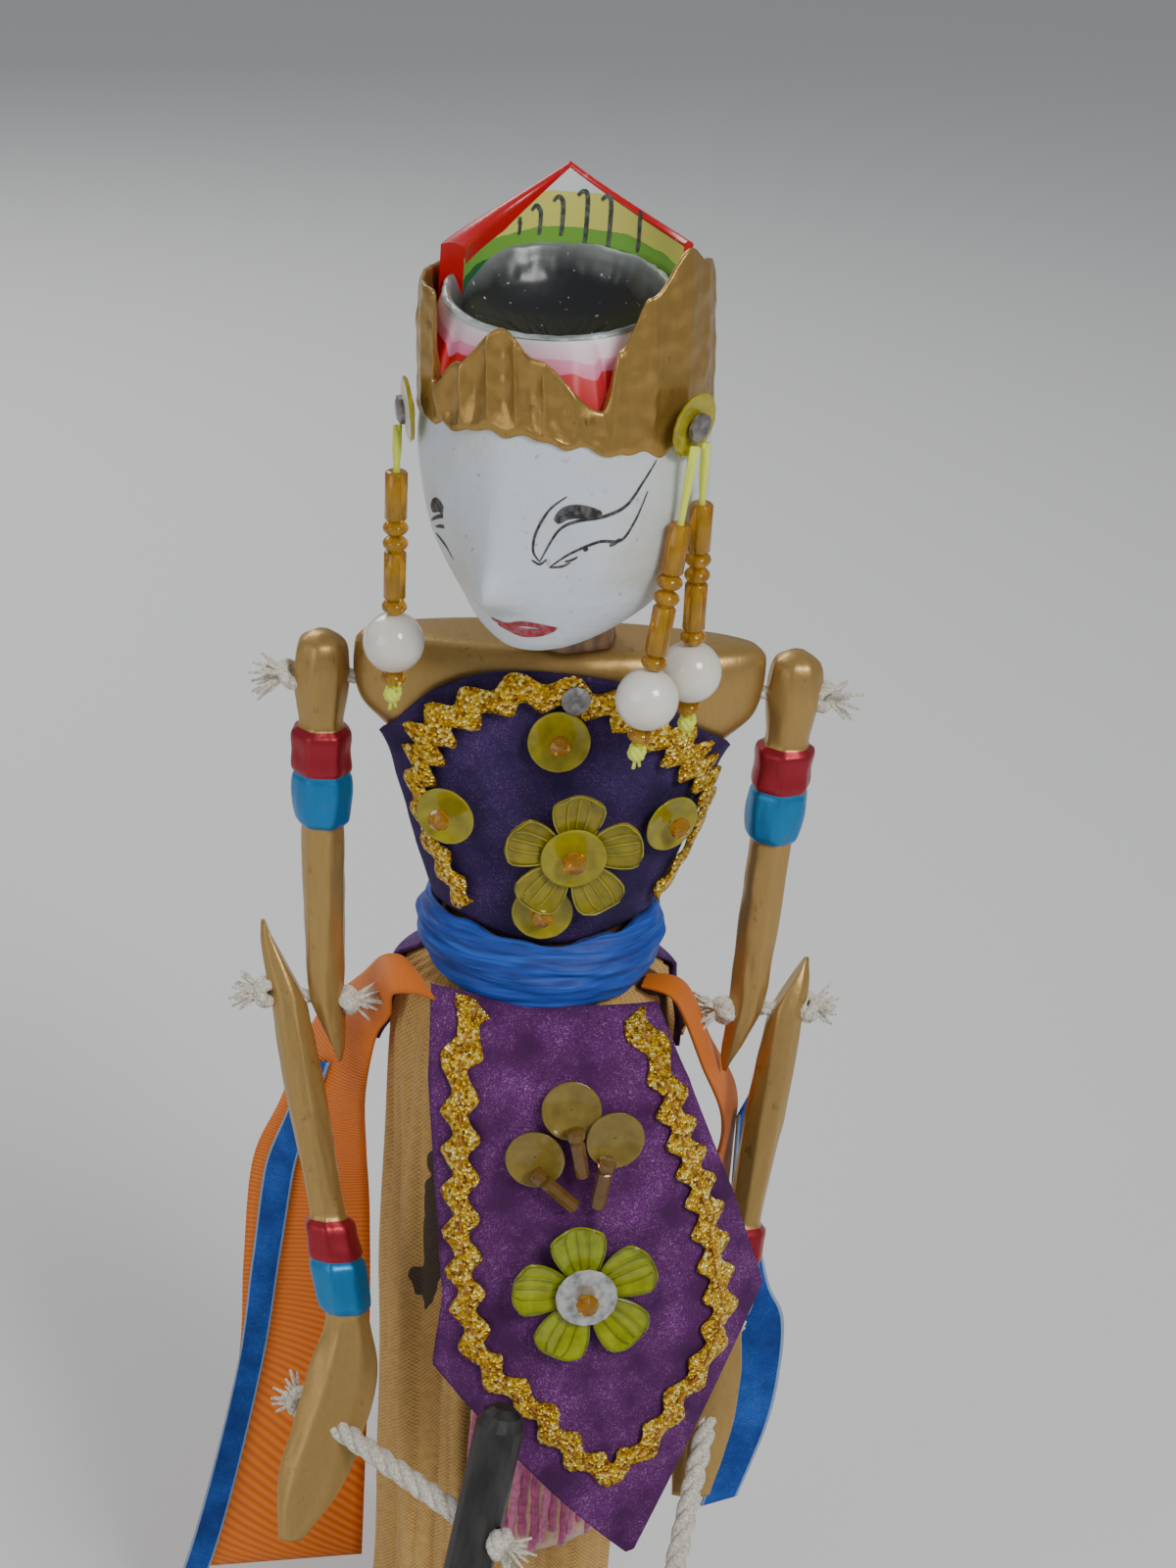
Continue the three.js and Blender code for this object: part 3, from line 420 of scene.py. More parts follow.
joints = {j["name"]: j for j in frame["joints"]}
for side, sign in (("left", 1), ("right", -1)):
    upper_in, fore_in, spike, hand_out, hand_rows = ARMS[side]
    shoulder = Vector(joints["shoulder_" + side]["pos_m"]) / MM
    elbow = Vector(joints["elbow_" + side]["pos_m"]) / MM
    upper_axis = tilted(Vector(), -2, 0, 0, -1)
    fore_axis = tilted(Vector(), -20, 0, 0, -1)

    def upper_at(v, u, sign=sign, shoulder=shoulder, upper_in=upper_in):
        z = 6 - 64 * v
        angle = 2 * math.pi * u
        r = flowing(UPPER_R, z) * whittled(sign, angle, z)
        out = r * math.sin(angle)
        if z < -44:
            out = min(out, 3.2 - 3.6 * (-z - 44) / 14)
        middle = math.tan(math.radians(upper_in)) * min(0, z + 2) - lap(-z - UPPER_LONG)
        return tilted(shoulder, -2, sign * (middle + out), -r * math.cos(angle), z)

    rows = hand_rows + FORE_R + [(spike, 0, 0.7, 0.7)]

    def fore_at(v, u, sign=sign, elbow=elbow, rows=rows, fore_in=fore_in, spike=spike, hand_out=hand_out):
        z = spike + (rows[0][0] - spike) * v
        angle = 2 * math.pi * u
        rough = whittled(2 * sign, angle, z)
        out = flowing(rows, z, 2) * rough * math.sin(angle)
        if z > -3:
            out = max(out, -2.8 + 3.0 * (z + 3) / (spike + 3))
        bend = hand_out * max(0.0, min(1.0, (-z - 46) / 33)) ** 1.35
        middle = math.tan(math.radians(fore_in)) * z + bend + lap(z)
        return tilted(elbow, -20, sign * (middle + out),
                      flowing(rows, z, 1) - flowing(rows, z, 3) * rough * math.cos(angle), z)

    for name, at, made in (
        ("upper_arm_", upper_at,
         banded("upper_arm_paint_" + side, shoulder * MM, upper_axis,
                [(7.2, 13.5, CRIMSON), (13.5, 21.2, SKY)])),
        ("forearm_", fore_at,
         banded("forearm_paint_" + side, elbow * MM, fore_axis, [(31.3, 37, CRIMSON), (37, 44.8, SKY)])),
    ):
        arm = grid_piece(name + "carving_" + side, 150, 56, at, made, closed=True, capped=True)
        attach(arm, name + side)
        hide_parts(name + side)
    paint_node("control_rod_" + side, grained(
        "black_rod_" + side, (0.035, 0.033, 0.031), (0.006, 0.006, 0.006), 0.45, (420, 420, 50), 0.3))


# Cords at shoulders, elbows and hands: twisted off-white cotton, pulled through and
# knotted on both sides, the shoulder cords on their outer side only, with frayed ends.
COTTON = finish_of("cotton_cord", (0.72, 0.67, 0.55), 0.9, Sheen_Weight=0.3)
fuzz = put(COTTON.node_tree, "ShaderNodeTexNoise",
           {"Vector": place_of(COTTON.node_tree), "Scale": 2600.0, "Detail": 4.0}).outputs["Fac"]
shade(COTTON, "Base Color", ramp_of(COTTON.node_tree, fuzz,
                                    [(0.3, (0.42, 0.37, 0.28)), (0.65, (0.85, 0.81, 0.7))]))
bumped(COTTON, fuzz, 0.6, 0.2)


def frame_along(line):
    line = line.normalized()
    side_way = line.cross(Vector((0, 0, 1)) if abs(line.z) < 0.9 else Vector((1, 0, 0))).normalized()
    return line, side_way, line.cross(side_way)


def tube(points, radius, segments=8):
    made, faces = [], []
    for i, p in enumerate(points):
        line = points[min(i + 1, len(points) - 1)] - points[max(i - 1, 0)]
        _, a, b = frame_along(line)
        for k in range(segments):
            t = 2 * math.pi * k / segments
            r = radius(i / (len(points) - 1)) if callable(radius) else radius
            made.append(p + a * (r * math.cos(t)) + b * (r * math.sin(t)))
    for i in range(len(points) - 1):
        for k in range(segments):
            n = (k + 1) % segments
            faces.append((i * segments + k, i * segments + n, (i + 1) * segments + n,
                          (i + 1) * segments + k))
    faces.append(tuple(reversed(range(segments))))
    faces.append(tuple(range((len(points) - 1) * segments, len(points) * segments)))
    return made, faces


def gathered(name, parts, made):
    points, faces = [], []
    for new_points, new_faces in parts:
        base = len(points)
        points += new_points
        faces += [tuple(base + k for k in f) for f in new_faces]
    obj = mesh_object(name, points, faces)
    obj.data.materials.append(made)
    return obj


rng = random.Random(7)


def cotton_tie(name, start, end, body, knots=(True, True), thick=0.58):
    line, a, b = frame_along(end - start)
    length = (end - start).length
    parts = []
    steps = max(8, int(length * 1.2))
    for strand in range(3):
        path = []
        for i in range(steps + 1):
            f = i / steps
            turn = 2 * math.pi * (strand / 3 + length * f / (11 * thick))
            path.append(start + line * (length * f) + (a * math.cos(turn) + b * math.sin(turn)) * thick
                        * 0.86)
        parts.append(tube(path, thick, 7))
    for at_end, wanted in zip((0, 1), knots):
        if not wanted:
            continue
        centre, out = (end, line) if at_end else (start, -line)
        for loop in range(3):
            axis_turn = rng.uniform(0, math.pi)
            u = (a * math.cos(axis_turn) + b * math.sin(axis_turn)) * 1.6 + out * rng.uniform(-0.2, 0.2)
            w = out * 1.0 + (b * math.cos(axis_turn) - a * math.sin(axis_turn)) * 0.7
            ring = [centre + out * 1.5 + u * math.cos(t) + w * math.sin(t)
                    for t in (2 * math.pi * k / 14 for k in range(15))]
            parts.append(tube(ring, 0.8, 8))
        for _ in range(26):
            swing = (a * rng.uniform(-0.8, 0.8) + b * rng.uniform(-0.8, 0.8) + out).normalized()
            tip = centre + out * 1.6 + swing * rng.uniform(2.6, 5.4)
            bend = Vector((0, 0, -rng.uniform(0, 0.6)))
            parts.append(tube([centre + out * 1.8, (centre + out * 1.8 + tip) / 2 + bend * 0.3, tip + bend],
                              lambda f: 0.36 * (1 - 0.5 * f), 5))
    obj = gathered(name, parts, COTTON)
    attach(obj, body)
    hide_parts(name.replace("_tie", "_cord"))
    return obj


def ends_of(node):
    points = [v.co / MM for v in frame["nodes"][node].data.vertices]
    centre = sum(points, Vector()) / len(points)
    far = max(points, key=lambda p: (p - centre).length)
    other = max(points, key=lambda p: (p - far).length)
    mean = lambda q: sum((p for p in points if (p - q).length < 2.2), Vector()) / max(
        1, sum(1 for p in points if (p - q).length < 2.2))
    return mean(far), mean(other)


for side in ("left", "right"):
    sign = 1 if side == "left" else -1
    for node, body, knots in (
        ("shoulder_cord_", "puppet", "outer"), ("elbow_cord_", "upper_arm_", "both"),
        ("hand_cord_", "forearm_", "both"),
    ):
        p, q = ends_of(node + side)
        if (p.x - q.x) * sign > 0:
            p, q = q, p
        way = (q - p).normalized()
        inner = p + way * (0.0 if knots == "outer" else 3.6)
        cotton_tie(node.replace("_cord_", "_tie_") + side, inner,
                   q - way * (4.9 if knots == "outer" else 3.6),
                   body if body == "puppet" else body + side, (knots == "both", True),
                   0.85 if node == "hand_cord_" else 0.58)


# Skirt: a straight tube of coarse tan cotton with dark stamped motifs, gathered at
# the waist under the sash and falling in shallow drape folds.
def stations(table, key):
    key = max(table[0][0], min(table[-1][0], key))
    for (k0, v0), (k1, v1) in zip(table, table[1:]):
        if key <= k1:
            t = (key - k0) / (k1 - k0)
            return v0 + (v1 - v0) * t * t * (3 - 2 * t)
    return table[-1][1]


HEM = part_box("skirt")[0].z / MM
SKIRT_A = [(HEM - WAIST, 20), (-100, 19.8), (-60, 20.6), (-22, 20.8), (-12, 19), (-8.5, 14.2), (-3, 14.1)]
SKIRT_B = [(HEM - WAIST, 20), (-100, 19.6), (-60, 19.8), (-22, 19.3), (-12, 16), (-8.5, 11.2), (-3, 11.1)]
FOLDS = 11


def skirt_at(angle, height, off=0.0, folded=False):
    wave = 0.0
    if folded:
        depth = max(0.0, min(1.0, (-height - 14) / 60)) * 1.3
        wave = depth * (math.cos(FOLDS * angle + 0.02 * height) - 1)
        fine = noise.noise(Vector((4 * math.sin(angle), 4 * math.cos(angle), height * 0.03)))
        wave += 1.3 * min(1.0, max(0.0, (-height - 9) / 12)) * (fine - 0.6)
        pleat = math.cos(17 * angle + 1.5 * math.sin(2 * angle) + 0.015 * height)
        wave += 1.0 * min(1.0, max(0.0, (-height - 10) / 10)) * (abs(pleat) ** 0.6 - 1)
        gather = max(0.0, 1 - abs(height + 12) / 14)
        wave += 0.3 * gather * (math.cos(46 * angle + 2 * math.sin(3 * angle)) - 1)
    return Vector((
        (stations(SKIRT_A, height) + off + wave) * math.sin(angle),
        -(stations(SKIRT_B, height) + off + wave) * math.cos(angle),
        WAIST + height,
    ))


def weave_group():
    tree, given, out = group_of(
        "plain_weave",
        [("Threads", "NodeSocketFloat", 1500)],
        [("Height", "NodeSocketFloat"), ("Slub", "NodeSocketFloat")],
    )
    where = place_of(tree)
    parts = put(tree, "ShaderNodeSeparateXYZ", {0: where})
    around = math_of(tree, "ARCTAN2", parts.outputs["X"], parts.outputs["Y"])
    warp = math_of(tree, "SINE", math_of(tree, "MULTIPLY", around,
                                         math_of(tree, "MULTIPLY", given.outputs["Threads"], 0.13)))
    weft = math_of(tree, "SINE", math_of(tree, "MULTIPLY", parts.outputs["Z"],
                                         math_of(tree, "MULTIPLY", given.outputs["Threads"], 5.6)))
    slub = noise_of(tree, 900.0, 5.0, where)
    height = math_of(tree, "ADD", math_of(tree, "MULTIPLY", math_of(tree, "MULTIPLY", warp, weft), 0.5),
                     slub)
    tree.links.new(height, out.inputs["Height"])
    tree.links.new(slub, out.inputs["Slub"])
    return tree


PLAIN_WEAVE = weave_group()
INK = (0.02, 0.018, 0.02)
batik = finish_of("batik_cloth", (0.5, 0.31, 0.11), 0.9, Sheen_Weight=0.1)
tree = batik.node_tree
where = place_of(tree)
bent = put(tree, "ShaderNodeTexNoise", {"Vector": where, "Scale": 60.0, "Detail": 3.0})
shifted = scaled_by(tree, bent.outputs["Color"], (0.014, 0.014, 0.02))
warped = put(tree, "ShaderNodeVectorMath", {0: where, 1: shifted}, operation="ADD").outputs[0]
long_ = scaled_by(tree, warped, (75, 75, 12))
leaves = put(tree, "ShaderNodeTexVoronoi", {"Vector": long_, "Scale": 1.0,
                                            "Randomness": 0.9}).outputs["Distance"]
ink = math_of(tree, "LESS_THAN", leaves, 0.28)
weave = put(tree, "ShaderNodeGroup", node_tree=PLAIN_WEAVE)
ground = ramp_of(tree, weave.outputs["Height"], [(0.1, (0.42, 0.23, 0.06)), (0.8, (0.68, 0.42, 0.13))])
shade(batik, "Base Color", mixed(tree, math_of(tree, "MULTIPLY", ink, 0.9), ground, (*INK, 1)))
bumped(batik, weave.outputs["Height"], 0.6, 0.15)
SKIRT_TOP = -3
skirt = grid_piece(
    "skirt_cloth", 90, 330,
    lambda v, u: skirt_at(2 * math.pi * u, SKIRT_TOP + (HEM - WAIST - SKIRT_TOP) * v ** 1.15, 0, True),
    batik, closed=True, thickness=-0.6)
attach(skirt, "puppet")
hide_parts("skirt")


# Sash: royal-blue satin wound once round the waist, crushed into many fine creases,
# its lower edge pushed out over the apron's top.
satin = finish_of("blue_satin", (0.02, 0.06, 0.42), 0.58, Sheen_Weight=0.05)
tree = satin.node_tree
crush = scaled_by(tree, place_of(tree), (110, 110, 1500))
crease_height_and_painted_light = noise_of(tree, 1.0, 5.0, crush, distortion=0.8)
# The colour follows the crease height: painted shade in the crease hollows and a painted highlight along
# the ridges.
shade(satin, "Base Color", ramp_of(tree, crease_height_and_painted_light, [(0.3, (0.002, 0.02, 0.18)), (0.6, (0.005, 0.075, 0.45)),
                                                  (0.8, (0.02, 0.17, 0.68))]))
bumped(satin, crease_height_and_painted_light, 0.7, 0.35)
SASH_TOP, SASH_DIP = 0.8, 1.3


def sash_at(v, u):
    angle = 2 * math.pi * u
    front = max(0.0, math.cos(angle))
    top = SASH_TOP - SASH_DIP * front ** 6
    foot = -8 - 1.6 * front ** 2
    k = 1 - v
    height = foot + (top - foot) * k + 0.25 * math.sin(9 * angle + 2 * math.sin(4 * angle)) * (1 - k)
    swell = 0.95 + 1.5 * math.sin(math.pi * min(1, max(0.0, k))) + 1.9 * front ** 2 * (1 - k) ** 1.2
    creases = noise.noise(Vector((3.5 * math.sin(angle), 3.5 * math.cos(angle), height * 1.1)))
    swell += 0.55 * creases + 0.3 * math.sin(1.9 * height + 3 * math.sin(2 * angle)) * math.sin(math.pi * k)
    return Vector(((14.6 + swell) * math.sin(angle), -(11.6 + swell) * math.cos(angle), WAIST + height))


sash = grid_piece("sash_cloth", 36, 300, sash_at, satin, closed=True, thickness=-0.8)
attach(sash, "puppet")
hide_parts("waist_sash")


# Bodice: violet-black velvet glued round the chest, cut on a slant at the top, with a
# gold wavy braid along its edge held by a line of stitches.
BODICE_OFF, CLOTH, GAP, BRAID = 0.75, 0.8, 0.35, 0.7
BODICE_HALF = 1.38
BODICE_TOP = [(-1.4, 25), (-0.92, 28.4), (-0.6, 34), (-0.35, 36.7), (-0.05, 37.2), (0.33, 35.5),
              (0.73, 29.3), (1.4, 24.7)]


def velvet(name, deep, light, lint=(0.55, 0.42, 0.62)):
    made = finish_of(name, deep, 0.9, Sheen_Weight=0.12, Sheen_Roughness=0.4, Sheen_Tint=(*light, 1))
    tree = made.node_tree
    where = place_of(tree)
    nap = noise_of(tree, 160.0, 4.0, where)
    pile = noise_of(tree, 2600.0, 3.0, where, distortion=2.5)
    tone = math_of(tree, "ADD", math_of(tree, "MULTIPLY", nap, 0.6), math_of(tree, "MULTIPLY", pile, 0.4))
    colour = ramp_of(tree, tone, [(0.38, deep), (0.66, light)])
    rubbed = math_of(tree, "MULTIPLY", math_of(tree, "SUBTRACT", nap, 0.38), 3.0, clamp=True)
    hairs = math_of(tree, "MULTIPLY", math_of(tree, "SUBTRACT", pile, 0.56), 9.0, clamp=True)
    dusty = math_of(tree, "MULTIPLY", math_of(tree, "MULTIPLY", rubbed, hairs), 0.75)
    shade(made, "Base Color", mixed(tree, dusty, colour, (*lint, 1)))
    bumped(made, pile, 0.5, 0.15)
    return made


indigo = velvet("indigo_velvet", (0.012, 0.004, 0.04), (0.05, 0.016, 0.12), (0.22, 0.15, 0.3))


def bodice_at(v, u):
    angle = BODICE_HALF * (2 * u - 1)
    low = 1.3 - 2.6 * max(0.0, math.cos(angle)) ** 4
    wrinkle = 0.12 * noise.noise(Vector((angle * 5, v * 6, 1)))
    return torso_at(angle, low + (flowing(BODICE_TOP, angle) - low) * v, BODICE_OFF + CLOTH + wrinkle)


bodice = grid_piece("bodice_cloth", 48, 72, bodice_at, indigo, thickness=0.6)
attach(bodice, "puppet")
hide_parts("bodice_panel")

glitter = finish_of("gold_braid", (0.75, 0.42, 0.01), 0.3, Metallic=0.55)
tree = glitter.node_tree
flecks = put(tree, "ShaderNodeTexVoronoi", {"Vector": place_of(tree), "Scale": 2300.0})
shade(glitter, "Base Color", ramp_of(tree, flecks.outputs["Color"], [
    (0.15, (0.22, 0.08, 0.0)), (0.38, (0.55, 0.27, 0.002)), (0.62, (0.85, 0.52, 0.006)),
    (0.88, (1.0, 0.86, 0.3))]))
bumped(glitter, flecks.outputs["Distance"], 1.0, 0.4)
stitch = finish_of("stitch_thread", (0.42, 0.16, 0.03), 0.8)


def smooth_path(points, f):
    span = f * (len(points) - 1)
    i = min(int(span), len(points) - 2)
    t = span - i
    p = [Vector(points[max(0, min(len(points) - 1, i + k))]) for k in (-1, 0, 1, 2)]
    return 0.5 * ((2 * p[1]) + (p[2] - p[0]) * t + (2 * p[0] - 5 * p[1] + 4 * p[2] - p[3]) * t * t
                  + (3 * p[1] - p[0] - 3 * p[2] + p[3]) * t ** 3)


def evenly(points, count):
    """Points at equal steps along a smooth flat path, each with its sideways way."""
    path = [(*p, 0) for p in points]
    fine = [smooth_path(path, k / 600) for k in range(601)]
    runs = [0.0]
    for p, q in zip(fine, fine[1:]):
        runs.append(runs[-1] + (q - p).length)
    made, i = [], 0
    for k in range(count + 1):
        goal = runs[-1] * k / count
        while i < 599 and runs[i + 1] < goal:
            i += 1
        step = (fine[i + 1] - fine[i])
        p = fine[i] + step * ((goal - runs[i]) / max(1e-9, runs[i + 1] - runs[i]))
        way = (fine[min(600, i + 6)] - fine[max(0, i - 6)]).normalized()
        made.append((p, Vector((-way.y, way.x, 0))))
    return made


def wavy_braid(name, node, path, waves, surface, wide=3.6, swing=0.8, thick=0.5):
    """surface(x, y, lift) gives a point off the cloth. The braid swings evenly to both sides."""
    rows = waves * 10
    spots = evenly(path, rows)

    def edge(v, u):
        i = min(rows, round(v * rows))
        p, side_way = spots[i]
        shift = swing * math.sin(2 * math.pi * waves * i / rows) + wide * (u - 0.5)
        rough = 0.22 * noise.noise(Vector((i * 0.9, u * 5, waves)))
        crown = 0.3 * math.sin(math.pi * u)
        q = p + side_way * (shift + rough * (1 if u in (0, 1) else 0))
        return surface(q.x, q.y, crown + rough * 0.5)

    braid = grid_piece(name, rows, 8, edge, glitter, thickness=thick)
    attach(braid, "puppet")
    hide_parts(node)
    return braid


def stitches(name, path, count, surface):
    parts = []
    spots = evenly(path, count * 4)
    for k in range(count):
        ends = [spots[4 * k + j][0] for j in (0, 1, 2)]
        parts.append(tube([surface(p.x, p.y, 0.45) for p in ends], 0.16, 5))
    made = gathered(name, parts, stitch)
    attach(made, "puppet")
    return made


BODICE_BRAID = [(-13.8, 3.4), (-18, 11.5), (-18.8, 17.1), (-18, 21.5), (-15, 26.1), (-9.4, 31.6),
                (-3.2, 35), (3.8, 33.5),
                (8.2, 30.5), (14, 26.3), (21.8, 20.7), (25, 14.9), (24.8, 11), (19.6, 4.2)]
CHEST_OFF = BODICE_OFF + CLOTH + GAP


def on_bodice(x, height, lift):
    return torso_at(x / 20, height, CHEST_OFF + BRAID - 0.2 + lift)


wavy_braid("bodice_braid_gold", "bodice_braid", BODICE_BRAID, 21, on_bodice)
stitches("bodice_stitches", BODICE_BRAID, 26, on_bodice)


# Apron: a shield of plum velvet hung from under the sash and standing off the skirt,
# turned to the puppet's left, with a braid inset from its edge.
plum = velvet("plum_velvet", (0.05, 0.004, 0.06), (0.15, 0.012, 0.17), (0.55, 0.4, 0.6))
APRON_TURN = math.radians(11.7)
APRON_TOP, APRON_LONG = -8.5, 80.7
APRON_EDGES = [(0, -15.2, 16), (8, -17, 18.4), (37, -19.6, 22.7), (47.5, -22.7, 24.3),
               (APRON_LONG, -0.5, 0.7)]


def apron_edge(down, column):
    for a, b in zip(APRON_EDGES, APRON_EDGES[1:]):
        if down <= b[0] + 0.001:
            return a[column] + (b[column] - a[column]) * (down - a[0]) / (b[0] - a[0])


def apron_at(across, down, off):
    x = across * math.cos(APRON_TURN) + down * math.sin(APRON_TURN) - 0.2
    fall = down * math.cos(APRON_TURN) * 0.97 - across * math.sin(APRON_TURN) * min(1, down / 30)
    bulge = 1 - (1 - min(1, max(0, down) / 12)) ** 2
    ahead = 13.3 + 11.2 * bulge + 0.17 * max(0, down - 12) - (x - 4) ** 2 / 80
    return Vector((x, -ahead - off, WAIST + APRON_TOP - max(0, fall)))


def apron_cloth_at(v, u):
    down = v * APRON_LONG
    low, high = apron_edge(down, 1), apron_edge(down, 2)
    across = low + (high - low) * u
    ripple = 0.2 * math.sin(0.2 * across + 0.05 * down) * v
    return apron_at(across, down, 1.0 + ripple)


apron = grid_piece("apron_cloth", 110, 60, apron_cloth_at, plum, thickness=-0.9)
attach(apron, "puppet")
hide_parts("apron_panel")
APRON_BRAID = [(-8.9, 0.3), (-12.2, 5.4), (-13.7, 14.6), (-15.5, 26.5), (-16.3, 40.6), (-14.7, 47.3),
               (-9.6, 53.6),
               (-5.9, 60.5), (-0.8, 65.7), (5.6, 62.9), (10.6, 57.8), (14.6, 54.2), (17.7, 47.6),
               (17.8, 40.1),
               (17.4, 28), (15.7, 13.4), (15.1, 6.6), (12.6, 0.3)]
APRON_OFF = 1.35


def on_apron(across, down, lift):
    return apron_at(across, max(0, down), APRON_OFF + 0.5 + lift)


apron_braid = wavy_braid("apron_braid_gold", "apron_braid", APRON_BRAID, 27, on_apron)
apron_stitch = stitches("apron_stitches", APRON_BRAID, 50, on_apron)


# Fringe under the apron's point: flat strips of magenta and pink cloth side by side,
# with peach lining cloth showing between them.
def strip_cloth(name, deep, light):
    made = finish_of(name, light, 0.5, Sheen_Weight=0.4)
    tree = made.node_tree
    rib = noise_of(tree, 1100.0, 4.0)
    shade(made, "Base Color", ramp_of(tree, rib, [(0.3, deep), (0.7, light)]))
    bumped(made, rib, 0.7, 0.25)
    return made


magenta = strip_cloth("magenta_fringe", (0.24, 0.01, 0.08), (0.62, 0.06, 0.26))
pink = strip_cloth("pink_fringe", (0.45, 0.08, 0.2), (0.78, 0.22, 0.42))
peach = strip_cloth("peach_lining", (0.55, 0.26, 0.16), (0.78, 0.46, 0.3))
FRINGE_FROM, FRINGE_TO, FRINGE_TOP, FRINGE_LONG, STRIPS = -0.3, 1.0, -62, 38, 17


def fringe_strips(chosen):
    parts = []
    for k in chosen:
        middle = FRINGE_FROM + (FRINGE_TO - FRINGE_FROM) * (k + 0.5) / STRIPS
        made, faces, rows, cols = [], [], 26, 6
        for i in range(rows + 1):
            for j in range(cols + 1):
                u = j / cols - 0.5
                sway = 0.012 * math.sin(0.35 * i + 2 * k)
                bow = 0.55 * math.cos(math.pi * u) + 0.12 * math.sin(1.9 * i + k)
                height = FRINGE_TOP - (FRINGE_LONG - 1.6 * (k % 3)) * i / rows
                made.append(skirt_at(middle + sway + 0.072 * u, height, 0.75 + bow))
        for i in range(rows):
            for j in range(cols):
                a = i * (cols + 1) + j
                faces.append((a, a + 1, a + cols + 2, a + cols + 1))
        parts.append((made, faces))
    return parts


fringe = gathered("fringe_strips", fringe_strips([k for k in range(STRIPS) if k % 3 != 1]), magenta)
pink_strips = gathered("fringe_pink_strips", fringe_strips([k for k in range(STRIPS) if k % 3 == 1]), pink)
lining = grid_piece(
    "fringe_lining", 20, 60,
    lambda v, u: skirt_at(FRINGE_FROM + (FRINGE_TO - FRINGE_FROM) * u, FRINGE_TOP - FRINGE_LONG * v, 0.7),
    peach, thickness=0.15)
for obj in (fringe, pink_strips, lining):
    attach(obj, "puppet")
for obj in (fringe, pink_strips):
    solid = obj.modifiers.new("thickness", "SOLIDIFY")
    solid.thickness, solid.offset = 0.2 * MM, 1.0
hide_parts("fringe")


# Back flap: purple velvet under the sash behind both hips, with its own gold braid.
purple = velvet("purple_velvet", (0.04, 0.01, 0.07), (0.17, 0.06, 0.26))
BACK_FROM, FLAP_OFF = 1.75, 0.7 + CLOTH


def around_back(share):
    return BACK_FROM + (2 * math.pi - 2 * BACK_FROM) * share


flap = grid_piece("back_flap", 24, 90, lambda v, u: skirt_at(around_back(u), -9 - 17 * v, FLAP_OFF),
                  purple, thickness=-0.6)
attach(flap, "puppet")
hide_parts("back_panel")
back_braid = wavy_braid(
    "back_braid_gold", "back_braid", [(56 * k / 8 + 1.2, -23.2) for k in range(9)], 15,
    lambda x, height, lift: skirt_at(around_back(x / 58.4), height, FLAP_OFF + 0.45 + lift))


# Ribbons from under the sash: broad orange grosgrain on the right and a narrower one on
# the left, and a blue velvet ribbon with a pale woven edge beside each.
grosgrain = finish_of("orange_ribbon", (0.85, 0.2, 0.01), 0.55, Sheen_Weight=0.03)
tree = grosgrain.node_tree
axes = put(tree, "ShaderNodeSeparateXYZ", {0: put(tree, "ShaderNodeTexCoord").outputs["UV"]})
slant = math_of(tree, "ADD", math_of(tree, "MULTIPLY", axes.outputs["Y"], 1250.0),
                math_of(tree, "MULTIPLY", axes.outputs["X"], 70.0))
ribs = math_of(tree, "SINE", slant)
shade(grosgrain, "Base Color", ramp_of(
    tree, math_of(tree, "ADD", math_of(tree, "MULTIPLY", ribs, 0.5), 0.5),
    [(0.1, (0.8, 0.15, 0.0)), (0.8, (1.0, 0.25, 0.0))]))
bumped(grosgrain, ribs, 0.6, 0.15)
blue_velvet = velvet("blue_ribbon", (0.004, 0.035, 0.22), (0.01, 0.11, 0.55), (0.1, 0.25, 0.55))
tree = blue_velvet.node_tree
axes = put(tree, "ShaderNodeSeparateXYZ", {0: put(tree, "ShaderNodeTexCoord").outputs["UV"]})
from_edge = math_of(tree, "ABSOLUTE", math_of(tree, "SUBTRACT", axes.outputs["X"], 0.5))
pick = math_of(tree, "GREATER_THAN", from_edge, 0.43)
ground = tree.nodes["Principled BSDF"].inputs["Base Color"].links[0].from_socket
shade(blue_velvet, "Base Color", mixed(tree, math_of(tree, "MULTIPLY", pick, 0.6), ground,
                                       (0.45, 0.62, 0.72, 1)))

ORANGE_RIGHT = (
    [(-14.6, -12.8, -8.9), (-17, -11, -9.2), (-20.3, -8, -11.5), (-20.6, -5.4, -16.5), (-22.3, -3, -21.8),
     (-23.3, 0, -33), (-22.6, 6, -47), (-21.5, 11, -62), (-20.5, 15, -90), (-20, 18, -138)],
    [(-17, -5.5, -8.9), (-19, -1.5, -9.1), (-21.6, 1.5, -11), (-24, 7, -17), (-30.5, 11, -27),
     (-35.5, 14.5, -44),
     (-39.5, 15.5, -56), (-40.6, 15.5, -75), (-41.3, 15.5, -97), (-46.7, 15, -138)])
ORANGE_LEFT = (
    [(13.6, -8.6, -9), (17.4, -9.8, -9.6), (19.9, -8.8, -13.8), (23.6, -6, -23), (28, -2.5, -34),
     (28.5, 2, -46),
     (26, 9, -70), (25.5, 13, -98)],
    [(14.8, -5.4, -9), (18.8, -5.4, -9.4), (21.6, -3.6, -13.3), (25.4, 1.5, -23), (30.8, 5, -33.8),
     (32, 8, -46),
     (33.3, 12, -74), (34, 14, -100)])
BLUE_LEFT = (
    [(31, 1, -36), (33, 6, -60), (35, 9, -74), (37.2, 10, -82), (38.3, 10, -92), (37.6, 10, -103),
     (35, 10, -119)],
    [(33.5, 6.5, -36), (37.5, 9.5, -60), (41, 10.3, -73), (44.3, 10.3, -80), (45, 10.3, -91),
     (44.2, 10.3, -102),
     (40.9, 10.3, -117)])
BLUE_RISE = 1.1  # the right blue ribbon lies this far out on the orange one


